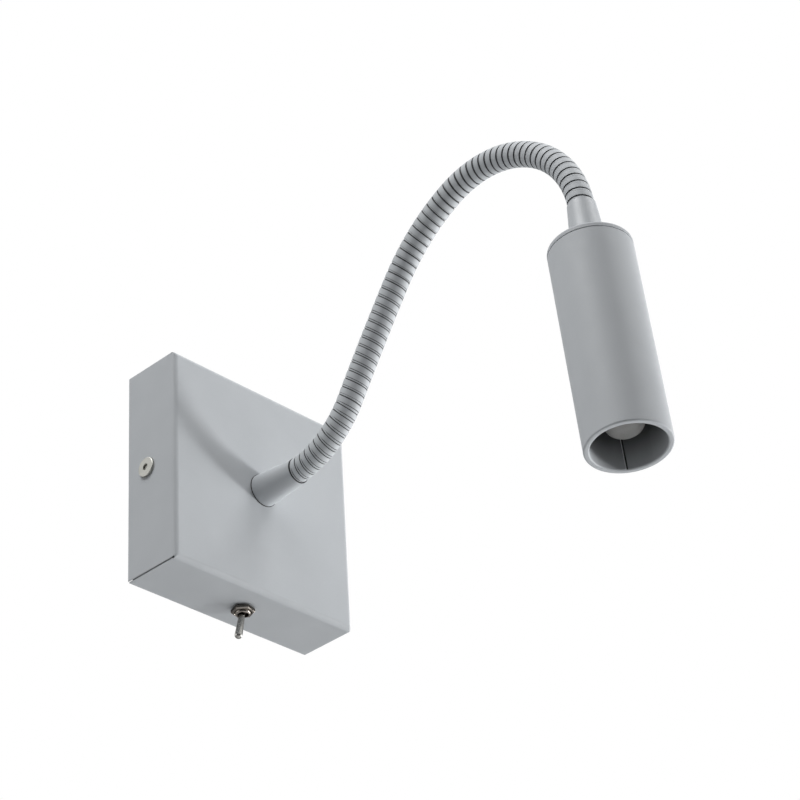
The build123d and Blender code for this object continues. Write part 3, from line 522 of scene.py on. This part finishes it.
# Black rubber of the grommet, also used as painted shade for the dark rings and the seam joint
RUBBER_AND_SHADE = moulded_material("grommet_rubber", (0.028, 0.028, 0.029), (0.016, 0.016, 0.017), (0.6, 0.8))
LIVE = moulded_material("live_insulation", (0.16, 0.075, 0.035), (0.11, 0.05, 0.022), (0.36, 0.5))
NEUTRAL = moulded_material("neutral_insulation", (0.03, 0.09, 0.33), (0.02, 0.06, 0.24), (0.36, 0.5))
EARTH = moulded_material("earth_insulation", (0.10, 0.30, 0.06), (0.07, 0.22, 0.04), (0.36, 0.5))
SHEATH = moulded_material("cable_sheath", (0.62, 0.62, 0.61), (0.54, 0.54, 0.53), (0.45, 0.6))
CERAMIC = moulded_material("socket_ceramic", (0.78, 0.77, 0.74), (0.70, 0.69, 0.66), (0.3, 0.5), 600.0)
BULB_BASE = moulded_material("bulb_base_plastic", (0.74, 0.74, 0.72), (0.66, 0.66, 0.64), (0.4, 0.55))
# Frosted cover of a white bulb, in mid grey: painted shade deep in the head
SHADED_FROSTED = frosted_material("bulb_frosted", (0.25, 0.25, 0.245), (0.20, 0.20, 0.195), (0.5, 0.62))
CARD_FELT = moulded_material("card_felt", (0.022, 0.022, 0.023), (0.015, 0.015, 0.016), (0.9, 1.0))

NODE_MATERIALS = {
    "cover_shell": PAINT,
    "cover_screws": SCREW_STEEL,
    "wall_bracket": ZINC,
    "entry_grommet": RUBBER_AND_SHADE,
    "terminal_housing": BLOCK_PLASTIC,
    "terminal_clamps": BRASS,
    "terminal_screws": ZINC,
    "earth_screw": BRASS,
    "base_ferrule": FERRULE_PAINT,
    "base_nipple": ZINC,
    "base_washer": ZINC,
    "base_locknut": ZINC,
    "switch_body": SWITCH_PLASTIC,
    "switch_bushing": NICKEL,
    "switch_washer": NICKEL,
    "switch_nut": NICKEL,
    "switch_lugs": NICKEL,
    "toggle_lever": LEVER_METAL,
    "live_lead": LIVE,
    "switched_lead": LIVE,
    "neutral_lead": NEUTRAL,
    "earth_lead": EARTH,
    "neck_cable": SHEATH,
    "upper_ferrule": FERRULE_PAINT,
    "head_nipple": ZINC,
    "head_locknut": ZINC,
    "head_cap": PAINT,
    "head_tube": TUBE_PAINT_AND_SHADE,
    "socket_bracket": ZINC,
    "lamp_socket": CERAMIC,
    "socket_contacts": NICKEL,
    "socket_screws": ZINC,
    "socket_leads": LIVE,
    "bulb_base": BULB_BASE,
    "bulb_cover": SHADED_FROSTED,
    "bulb_pins": ZINC,
}


def dress_nodes():
    """Material of every CAD node that stays in view."""
    for name, node in nodes.items():
        node.data.materials.clear()
        node.data.materials.append(NODE_MATERIALS.get(name, LIT_NECK_PAINT))


# Mesh helpers

def mesh_object(name, points, faces, materials, sharp=35.0):
    """Mesh piece from points in millimetres, smooth apart from sharp edges."""
    mesh = bpy.data.meshes.new(name)
    mesh.from_pydata([place(p) for p in points], [], faces)
    shell = bmesh.new()
    shell.from_mesh(mesh)
    bmesh.ops.recalc_face_normals(shell, faces=shell.faces)
    shell.to_mesh(mesh)
    shell.free()
    mesh.polygons.foreach_set("use_smooth", [True] * len(mesh.polygons))
    mesh.set_sharp_from_angle(angle=math.radians(sharp))
    for material in materials:
        mesh.materials.append(material)
    made = bpy.data.objects.new(name, mesh)
    bpy.context.scene.collection.objects.link(made)
    return made


def loft(rings, closed):
    """Faces that join rings of equal length: closed rows make a torus, open rows get end caps."""
    points = [p for ring in rings for p in ring]
    size = len(rings[0])
    count = len(rings)
    faces = []
    rows = count if closed else count - 1
    for row in range(rows):
        here = row * size
        there = (row + 1) % count * size
        for step in range(size):
            after = (step + 1) % size
            faces.append((here + step, here + after, there + after, there + step))
    if not closed:
        faces.append(tuple(reversed(range(size))))
        faces.append(tuple(range((count - 1) * size, count * size)))
    return points, faces


def joined(*shells):
    """Several (points, faces) shells as one."""
    points = []
    faces = []
    for some, polygons in shells:
        base = len(points)
        points += some
        faces += [tuple(base + corner for corner in polygon) for polygon in polygons]
    return points, faces


# Neck

class Bend:
    """Smooth arc over one joint of the neck, from the middle of a link to the middle of the next."""

    def __init__(self, joint, leave, arrive):
        self.leave = leave
        self.start = joint - leave * (LINK_LENGTH / 2)
        self.end = joint + arrive * (LINK_LENGTH / 2)
        self.turn = leave.angle(arrive)
        self.axis = leave.cross(arrive).normalized()
        self.radius = LINK_LENGTH / 2 / math.tan(self.turn / 2)
        self.length = self.radius * self.turn
        self.centre = self.start + self.axis.cross(leave) * self.radius

    def rotation(self, along):
        """Turn of the arc at a length along it."""
        return Matrix.Rotation(along / self.radius, 3, self.axis)

    def section(self, along):
        """Centre of the neck and its two side directions at a length along the arc."""
        rotation = self.rotation(along)
        tangent = rotation @ self.leave
        middle = self.centre + rotation @ (self.start - self.centre)
        right = Vector((1, 0, 0))
        right = (right - tangent * right.dot(tangent)).normalized()
        return middle, right, tangent.cross(right)

    def squeeze(self, along, angle, radius):
        """Share by which a line along the neck gets shorter here, negative where it gets longer."""
        middle, right, other = self.section(along)
        side = right * math.cos(angle) + other * math.sin(angle)
        inward = (self.centre - middle).normalized()
        return radius / self.radius * side.dot(inward)

    def point(self, along, angle, radius, offset=0.0):
        """Point on the neck, moved along it by a true length."""
        along += offset / (1 - self.squeeze(along, angle, radius))
        middle, right, other = self.section(along)
        return middle + (right * math.cos(angle) + other * math.sin(angle)) * radius


def band_profile(width):
    """Section of the wide band, as (offset, radius) from one groove floor to the other."""
    half = width / 2
    edge = BAND_RADIUS - BAND_CROWN - EDGE_ROUND
    floor = BAND_RADIUS - GROOVE_DEPTH
    face = []
    for share in BAND_FACE_SHARES:
        face.append((share * (half - EDGE_ROUND), BAND_RADIUS - BAND_CROWN * share * share))
    return [(-half, floor), (-half, edge)] + face + [(half, edge), (half, floor)]


def share_of(value, low, high):
    """Where a value stands between two others, from 0 to 1."""
    return min(1.0, max(0.0, (value - low) / (high - low)))


def wire_profile(pitch, squeeze, bent, tight, wide):
    """Section of the narrow band in its space: it closes up to the next turn where the neck bends."""
    space = pitch * (1 - squeeze - BAND_SHARE)
    closing = max(tight * TIGHT_CLOSING, bent * share_of(squeeze, OPEN_SQUEEZE, CLOSED_SQUEEZE))
    stretched = share_of(squeeze, 0.0, STRETCHED_SQUEEZE) * wide
    main = MAIN_GAP + (BENT_GAP - MAIN_GAP) * closing * (1 - tight) + (TIGHT_GAP - MAIN_GAP) * wide
    main += (STRETCHED_GAP - main) * stretched
    second = SECOND_GAP * (1 - closing) * (1 - SECOND_FADE * stretched)
    high = space / 2 - second
    low = min(main - space / 2, high - WIRE_LEAST_WIDTH)
    top = BAND_RADIUS - BAND_CROWN - WIRE_SINK
    floor = LINER_RADIUS - GROOVE_DEPTH
    edge = top - EDGE_ROUND
    round_off = min(EDGE_ROUND, (high - low) / 4)
    face = [(low + round_off, top), ((low + high) / 2, top), (high - round_off, top)]
    return [(low, floor), (low, edge)] + face + [(high, edge), (high, floor)]


def pitch_at(length):
    """Pitch of the winding at a length along the neck."""
    for (low, first), (high, last) in zip(PITCHES, PITCHES[1:]):
        if length < high:
            return first + (last - first) * share_of(length, low, high)
    return PITCHES[-1][1]


class Run:
    """Turns of the winding over one bend, where the pitch changes evenly."""

    def __init__(self, length, past, first_turn):
        self.length = length
        self.first = pitch_at(past)
        self.last = pitch_at(past + length)
        self.first_turn = first_turn
        self.steps = round(length / self.first * STEPS_PER_TURN)

    def pitch(self, share):
        """Pitch at a share of the bend."""
        return self.first + (self.last - self.first) * share

    def turn(self, share):
        """Turns wound up to a share of the bend."""
        mean = (self.first + self.pitch(share)) / 2
        return self.first_turn + self.length * share / mean


def mean_squeeze(bend, before, after, along, angle, pitch):
    """Squeeze over one pitch of the winding, which can reach into the bends before and after."""
    own = bend.squeeze(along, angle, BAND_RADIUS)
    earlier = before.squeeze(before.length, angle, BAND_RADIUS)
    later = after.squeeze(0.0, angle, BAND_RADIUS)
    to_earlier = max(0.0, 0.5 - along / pitch)
    to_later = max(0.0, 0.5 - (bend.length - along) / pitch)
    return own + (earlier - own) * to_earlier + (later - own) * to_later


def winding(bend, beside, run, lead, section, span):
    """Helical strip over a span of one bend, with a list of which of its faces carry painted shade."""
    rings = []
    dark = []
    for step in range(int(run.steps * span[0]), int(run.steps * span[1]) + 1):
        share = step / run.steps
        along = bend.length * share
        pitch = run.pitch(share)
        angle = -2 * math.pi * (run.turn(share) - lead)
        squeeze = mean_squeeze(bend, *beside, along, angle, pitch)
        profile = section(pitch, squeeze, share)
        rings.append([bend.point(along, angle, radius, offset) for offset, radius in profile])
        # The groove walls and floor of each section get the painted shade
        dark += [True] + [False] * (len(profile) - 3) + [True, True]
    points, faces = loft(rings, closed=False)
    dark = dark[: len(faces) - 2] + [True, True]
    return points, faces, dark


def liner(bend, span):
    """Inner tube in near-black painted shade that closes the grooves over a span of one bend."""
    rows = range(int(LINER_ROWS * span[0]), int(LINER_ROWS * span[1]) + 1)
    angles = [2 * math.pi * side / LINER_SIDES for side in range(LINER_SIDES)]
    wall = []
    for radius, order in ((LINER_RADIUS, rows), (LINER_BORE_RADIUS, reversed(rows))):
        for row in order:
            along = bend.length * row / LINER_ROWS
            wall.append([bend.point(along, angle, radius) for angle in angles])
    return loft(wall, closed=True)


def tightness(bend):
    """Shares by which a bend is curled, closes its winding and widens its gap: an upward bend stays open."""
    curl = BAND_RADIUS / bend.radius
    downward = bend.axis.x > 0
    tight = share_of(curl, *TIGHT_CURLS) * downward
    wide = share_of(curl, *WIDE_CURLS) * downward
    return Vector((share_of(curl, *BENT_CURLS), tight, wide))


def neck_bends():
    """Joints of the neck, each with its bend, the bends beside it and the tightness at its ends."""
    joints = [j for j in frame["joints"] if j["name"].startswith("neck_")]
    places = [Vector(j["pos_m"]) / MM for j in joints]
    directions = [Vector((0, -1, 0))]
    directions += [(after - before).normalized() for before, after in zip(places, places[1:])]
    directions.append(head_direction())
    bends = [Bend(*found) for found in zip(places, directions, directions[1:])]
    tight = [tightness(bend) for bend in bends]
    ends = [(before + after) / 2 for before, after in zip(tight[:1] + tight, tight + tight[-1:])]
    beside = list(zip(bends[:1] + bends[:-1], bends[1:] + bends[-1:]))
    return list(zip(joints, bends, beside, ends, ends[1:]))


def neck_piece(name, bend, beside, run, ends, span):
    """Winding and liner over a span of one bend, as one object."""
    def band_section(pitch, squeeze, share):
        return band_profile(pitch * BAND_SHARE)

    def wire_section(pitch, squeeze, share):
        return wire_profile(pitch, squeeze, *ends[0].lerp(ends[1], share))

    band = winding(bend, beside, run, BAND_LEAD, band_section, span)
    wire = winding(bend, beside, run, WIRE_LEAD, wire_section, span)
    tube = liner(bend, span)
    points, faces = joined(band[:2], wire[:2], tube)
    dark = band[2] + wire[2] + [True] * len(tube[1])
    piece = mesh_object(name, points, faces, [LIT_NECK_PAINT, GROOVE_SHADE])
    piece.data.polygons.foreach_set("material_index", [int(shade) for shade in dark])
    return piece


def build_neck():
    """Winding over each joint of the neck: one piece baked in place, or two halves that part along a groove.
    """
    past = 0.0
    turn = FIRST_TURN
    for number, (joint, bend, beside, first, last) in enumerate(neck_bends()):
        run = Run(bend.length, past, turn)
        past += bend.length
        turn = run.turn(1.0)
        name = f"neck_winding_{number + 1:02d}"
        links = (f"neck_link_{number + 1:02d}", f"neck_link_{number + 2:02d}")
        if joint["name"].startswith(SPLIT_BENDS):
            near = neck_piece(f"{name}_near", bend, beside, run, (first, last), NEAR_HALF)
            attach(near, joint["parent"])
            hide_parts(links[0], "neck_cable")
            far = neck_piece(f"{name}_far", bend, beside, run, (first, last), FAR_HALF)
            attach(far, joint["child"])
            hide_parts(links[1], "neck_cable")
        else:
            piece = neck_piece(name, bend, beside, run, (first, last), WHOLE)
            place(bend.start)
            place(bend.end)
            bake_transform(piece)
            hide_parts(*links, "neck_cable")


# Dark rings of painted shade at the ends of the ferrules, and the seam in the head

def build_ring(name, body, centre, along, inner, outer, low, high):
    """Thin dark ring of painted shade about an axis, between two distances along it."""
    along = Vector(along).normalized()
    right = Vector((1, 0, 0))
    other = along.cross(right)
    section = [(inner, low), (outer, low), (outer, high), (inner, high)]
    rings = []
    for side in range(RING_SIDES):
        angle = 2 * math.pi * side / RING_SIDES
        outward = right * math.cos(angle) + other * math.sin(angle)
        rings.append([Vector(centre) + outward * radius + along * reach for radius, reach in section])
    piece = mesh_object(name, *loft(rings, closed=True), [RUBBER_AND_SHADE])
    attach(piece, body)


def build_rings():
    """Painted shade: a dark ring for the shadow line under the base ferrule, and the dark gap at its mouth.
    """
    outward = (0, -1, 0)
    seat = (0, BOX_FRONT_Y, 0)
    build_ring("base_shade_ring", "base", seat, outward, *SHADE_RING_RADII, 0.0, SHADE_RING_HEIGHT)
    mouth = (0, BOX_FRONT_Y - BASE_FERRULE_LENGTH, 0)
    build_ring("base_mouth_shade_ring", "base", mouth, outward, *MOUTH_SHADE_RADII, *MOUTH_SHADE_REACH)


def build_tube_seam():
    """Seam along the head's inner wall: a dark joint with its groove filled by painted shade, and a pale
    strip of painted highlight on the edge of the sheet beside it.
    """
    down = head_direction()
    right = Vector((1, 0, 0))
    other = right.cross(down)
    angle = math.radians(TUBE_SEAM_ANGLE)
    outward = right * math.cos(angle) + other * math.sin(angle)
    across = other * math.cos(angle) - right * math.sin(angle)
    for name, sides, depths, material in (
        ("tube_seam_joint", SEAM_JOINT_SIDES, SEAM_JOINT_RADII, RUBBER_AND_SHADE),
        ("tube_seam_highlight", SEAM_HIGHLIGHT_SIDES, SEAM_HIGHLIGHT_RADII, SEAM_HIGHLIGHT),
    ):
        corners = [(sides[0], depths[0]), (sides[1], depths[0]), (sides[1], depths[1]), (sides[0], depths[1])]
        rings = []
        for drop in (TUBE_SEAM_START, TUBE_SEAM_END):
            middle = Vector(HEAD_TOP) + down * drop
            rings.append([middle + across * side + outward * radius for side, radius in corners])
        piece = mesh_object(name, *loft(rings, closed=False), [material])
        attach(piece, "head")


# Wall box and switch

def build_seam_tabs():
    """Folded tabs behind the four corner seams of the cover, in a darker copy of the grey paint: painted
    shade behind the seams.
    """
    outer = BOX_WIDTH / 2 - SHEET - TAB_CLEARANCE
    inner = outer - TAB_SHEET
    end = outer - TAB_LEG
    section = [(outer, end), (outer, outer), (end, outer), (end, inner), (inner, inner), (inner, end)]
    for number, (side, level) in enumerate([(-1, -1), (1, -1), (1, 1), (-1, 1)]):
        rings = [[(side * x, y, level * z) for x, z in section] for y in (TAB_FRONT_Y, TAB_BACK_Y)]
        piece = mesh_object(f"seam_tab_{number + 1}", *loft(rings, closed=False), [SHADED_INSIDE_PAINT])
        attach(piece, "base")


def below(radius, angle, drop):
    """Point about the switch's axis, at a height below the box."""
    x, y, z = SWITCH_PLACE
    return (x + radius * math.cos(angle), y + radius * math.sin(angle), z - drop)


def nut_radius(angle):
    """Distance from the nut's middle to its side at an angle, with slightly blunt corners."""
    turn = (angle + math.pi / 6) % (math.pi / 3) - math.pi / 6
    return min(NUT_FLATS / 2 / math.cos(turn), NUT_CORNER_RADIUS)


def build_nut():
    """Hexagonal nut on a round seat, with a bevel around its face and in its bore; its seat and hex sides
    carry painted shade.
    """
    rings = []
    for step in range(NUT_STEPS):
        around = 2 * math.pi * step / NUT_STEPS
        outer = nut_radius(around)
        profile = [
            (NUT_BORE_RADIUS, 0.0),
            (NUT_SEAT_RADIUS, 0.0),
            (NUT_SEAT_RADIUS, NUT_SEAT_HEIGHT),
            (outer, NUT_SEAT_HEIGHT),
            (outer, NUT_HEIGHT - NUT_BEVEL),
            (outer - NUT_BEVEL, NUT_HEIGHT),
            (NUT_BORE_RADIUS + NUT_BEVEL, NUT_HEIGHT),
            (NUT_BORE_RADIUS, NUT_HEIGHT - NUT_BEVEL),
        ]
        angle = around + math.radians(NUT_TURN)
        rings.append([below(radius, angle, drop) for radius, drop in profile])
    shell = loft(rings, closed=True)
    piece = mesh_object("switch_hex_nut", *shell, [NICKEL, SHADED_NICKEL], NUT_SHARP_ANGLE)
    size = len(rings[0])
    # The first faces of each ring, the seat and the hex sides, get the shaded nickel
    sides = [int(number % size < NUT_SHADED_FACES) for number in range(len(piece.data.polygons))]
    piece.data.polygons.foreach_set("material_index", sides)
    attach(piece, "base")
    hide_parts("switch_nut")


def bushing_end():
    """Rounded end of the bushing, as (radius, distance back from the end)."""
    found = []
    for step in range(BUSHING_ROUND_STEPS + 1):
        angle = math.pi / 2 * step / BUSHING_ROUND_STEPS
        radius = BUSHING_RADIUS - BUSHING_ROUND_WIDTH * (1 - math.cos(angle))
        found.append((radius, BUSHING_ROUND_HEIGHT * (1 - math.sin(angle))))
    return found + [(BUSHING_BORE_RADIUS, BUSHING_LIP)]


def build_bushing():
    """Threaded bushing with a rounded end, and near-black painted shade in its bore."""
    run = BUSHING_END - BUSHING_ROUND_HEIGHT - THREAD_END_GAP - BUSHING_TOP
    rows = round(run / THREAD_PITCH * THREAD_ROWS)
    rings = []
    for step in range(BUSHING_STEPS):
        share = step / BUSHING_STEPS
        profile = [(BUSHING_BORE_RADIUS, BUSHING_TOP)]
        for row in range(rows + 1):
            drop = BUSHING_TOP + run * row / rows
            wave = (drop / THREAD_PITCH - share) % 1.0
            profile.append((BUSHING_RADIUS - THREAD_DEPTH * abs(2 * wave - 1), drop))
        profile += [(radius, BUSHING_END - back) for radius, back in bushing_end()]
        angle = 2 * math.pi * share
        rings.append([below(radius, angle, drop) for radius, drop in profile])
    shell = loft(rings, closed=True)
    piece = mesh_object("switch_threaded_bushing", *shell, [NICKEL, SHADED_BORE_METAL], BUSHING_SHARP_ANGLE)
    size = len(rings[0])
    # The lip and the bore wall of each ring get the painted shade
    walls = size - BUSHING_BORE_FACES
    bore = [int(number % size >= walls) for number in range(len(piece.data.polygons))]
    piece.data.polygons.foreach_set("material_index", bore)
    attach(piece, "base")
    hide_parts("switch_bushing")


# Leads and cable ends

def build_lead(name, route, radius, body, node, slot, material):
    """Insulated lead on a smooth curve through its route."""
    curve = bpy.data.curves.new(name, "CURVE")
    curve.dimensions = "3D"
    curve.bevel_depth = radius * MM
    curve.bevel_resolution = LEAD_SIDE_STEPS
    curve.use_fill_caps = True
    spline = curve.splines.new("NURBS")
    spline.points.add(len(route) - 1)
    for point, spot in zip(spline.points, route):
        point.co = (*place(spot), 1.0)
    spline.order_u = LEAD_CURVE_ORDER
    spline.use_endpoint_u = True
    curve.materials.append(material)
    made = bpy.data.objects.new(name, curve)
    bpy.context.scene.collection.objects.link(made)
    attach(made, body)
    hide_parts(node)


def head_route(across, drops, bow):
    """Three points down the head from the top of its cap, the middle one bowed out."""
    bows = (0.0, bow, 0.0)
    start = Vector(HEAD_TOP)
    down = head_direction()
    return [start + down * drop + Vector((across, out, 0.0)) for drop, out in zip(drops, bows)]


def build_leads():
    """Leads in the wall box and in the head, and both ends of the lamp cable."""
    for name, route, node, slot, material in (
        ("live_wire", LIVE_ROUTE, "live_lead", "live_insulation", LIVE),
        ("switched_wire", SWITCHED_ROUTE, "switched_lead", "live_insulation", LIVE),
        ("neutral_wire", NEUTRAL_ROUTE, "neutral_lead", "neutral_insulation", NEUTRAL),
        ("earth_wire", EARTH_ROUTE, "earth_lead", "earth_insulation", EARTH),
    ):
        build_lead(name, route, LEAD_RADIUS, "base", node, slot, material)
    build_lead("cable_in_box", CABLE_ROUTE, CABLE_RADIUS, "base", "neck_cable", "cable_sheath", SHEATH)
    head_cable = head_route(0.0, HEAD_CABLE_DROPS, HEAD_CABLE_BOW)
    build_lead("cable_in_head", head_cable, CABLE_RADIUS, "head", "neck_cable", "cable_sheath", SHEATH)
    for name, across, material in (
        ("socket_wire_left", -SOCKET_WIRE_SIDE, LIVE),
        ("socket_wire_right", SOCKET_WIRE_SIDE, NEUTRAL),
    ):
        route = head_route(across, SOCKET_WIRE_DROPS, SOCKET_WIRE_BOW)
        build_lead(name, route, LEAD_RADIUS, "head", "socket_leads", "cable_sheath", material)


# Camera and studio

def camera_axes():
    """Directions to the right, up and back of the camera, level before its roll."""
    azimuth = math.radians(CAMERA_AZIMUTH)
    elevation = math.radians(CAMERA_ELEVATION)
    level = math.cos(elevation)
    back = Vector((math.sin(azimuth) * level, -math.cos(azimuth) * level, math.sin(elevation)))
    right = Vector((math.cos(azimuth), math.sin(azimuth), 0.0))
    return right, back.cross(right), back


def build_camera():
    """Camera at the photograph's viewing angle."""
    level, upright, back = camera_axes()
    roll = math.radians(CAMERA_ROLL)
    right = level * math.cos(roll) + upright * math.sin(roll)
    up = upright * math.cos(roll) - level * math.sin(roll)
    turn = Matrix((right, up, back)).transposed()
    data = bpy.data.cameras.new("camera")
    data.lens = CAMERA_LENS
    data.sensor_width = CAMERA_SENSOR
    data.clip_start = 0.01
    camera = bpy.data.objects.new("camera", data)
    camera.matrix_world = Matrix.Translation(CAMERA_PLACE) @ turn.to_4x4()
    bpy.context.scene.collection.objects.link(camera)
    bpy.context.scene.camera = camera


def build_dark_card():
    """Dark studio card on the photographer's side, which the satin paint and the metal reflect."""
    right, up, back = camera_axes()
    middle = Vector(STUDIO_AIM) + back * CARD_DISTANCE
    ring = []
    for side in range(CARD_SIDES):
        angle = 2 * math.pi * side / CARD_SIDES
        ring.append(middle + (right * math.cos(angle) + up * math.sin(angle)) * CARD_RADIUS)
    mesh = bpy.data.meshes.new("dark_card")
    mesh.from_pydata(ring, [], [tuple(range(CARD_SIDES))])
    mesh.materials.append(CARD_FELT)
    card = bpy.data.objects.new("dark_card", mesh)
    card.visible_camera = False
    bpy.context.scene.collection.objects.link(card)


def soft_box(name, toward, size, level):
    """Round soft box that points at the lamp: level 1 lights a surface that faces it as it is written."""
    data = bpy.data.lights.new(name, "AREA")
    data.shape = "DISK"
    data.size = size
    data.energy = level * (math.pi * LIGHT_DISTANCE) ** 2
    light = bpy.data.objects.new(name, data)
    toward = Vector(toward).normalized()
    spot = Vector(STUDIO_AIM) + toward * LIGHT_DISTANCE
    turn = toward.to_track_quat("Z", "Y").to_matrix()
    light.matrix_world = Matrix.Translation(spot) @ turn.to_4x4()
    bpy.context.scene.collection.objects.link(light)


def build_world():
    """White to the camera and in reflections, an even soft light otherwise."""
    world = bpy.data.worlds.new("studio")
    bpy.context.scene.world = world
    world.use_nodes = True
    tree = world.node_tree
    tree.nodes.clear()
    seen = tree.nodes.new("ShaderNodeBackground")
    seen.inputs["Color"].default_value = WHITE
    seen.inputs["Strength"].default_value = 1.0
    soft = tree.nodes.new("ShaderNodeBackground")
    soft.inputs["Color"].default_value = AMBIENT_COLOUR
    soft.inputs["Strength"].default_value = AMBIENT_LEVEL
    path = tree.nodes.new("ShaderNodeLightPath")
    either = tree.nodes.new("ShaderNodeMath")
    either.operation = "MAXIMUM"
    tree.links.new(path.outputs["Is Camera Ray"], either.inputs[0])
    tree.links.new(path.outputs["Is Glossy Ray"], either.inputs[1])
    any_of = tree.nodes.new("ShaderNodeMath")
    any_of.operation = "MAXIMUM"
    tree.links.new(either.outputs["Value"], any_of.inputs[0])
    tree.links.new(path.outputs["Is Transmission Ray"], any_of.inputs[1])
    mix = tree.nodes.new("ShaderNodeMixShader")
    tree.links.new(any_of.outputs["Value"], mix.inputs["Fac"])
    tree.links.new(soft.outputs["Background"], mix.inputs[1])
    tree.links.new(seen.outputs["Background"], mix.inputs[2])
    output = tree.nodes.new("ShaderNodeOutputWorld")
    tree.links.new(mix.outputs["Shader"], output.inputs["Surface"])


def build_floor():
    """Plain pale floor far below the lamp, fading into the white background."""
    half = FLOOR_HALF
    corners = [(x, y, -FLOOR_DROP) for x, y in ((-half, -half), (half, -half), (half, half), (-half, half))]
    mesh = bpy.data.meshes.new("floor")
    mesh.from_pydata(corners, [], [(0, 1, 2, 3)])
    floor = bpy.data.objects.new("floor", mesh)
    bpy.context.scene.collection.objects.link(floor)
    made, tree, shader = new_material("floor_pale")
    tree.links.new(clouds(tree, FLOOR_CLOUD_SCALE, FLOOR_DEEP, FLOOR_PALE), shader.inputs["Base Color"])
    shader.inputs["Roughness"].default_value = FLOOR_ROUGHNESS
    mesh.materials.append(made)


dress_nodes()
build_neck()
build_rings()
build_tube_seam()
build_seam_tabs()
build_nut()
build_bushing()
build_leads()
build_camera()
build_world()
for box in SOFT_BOXES:
    soft_box(*box)
build_dark_card()
build_floor()

bpy.context.scene.view_settings.view_transform = "Standard"
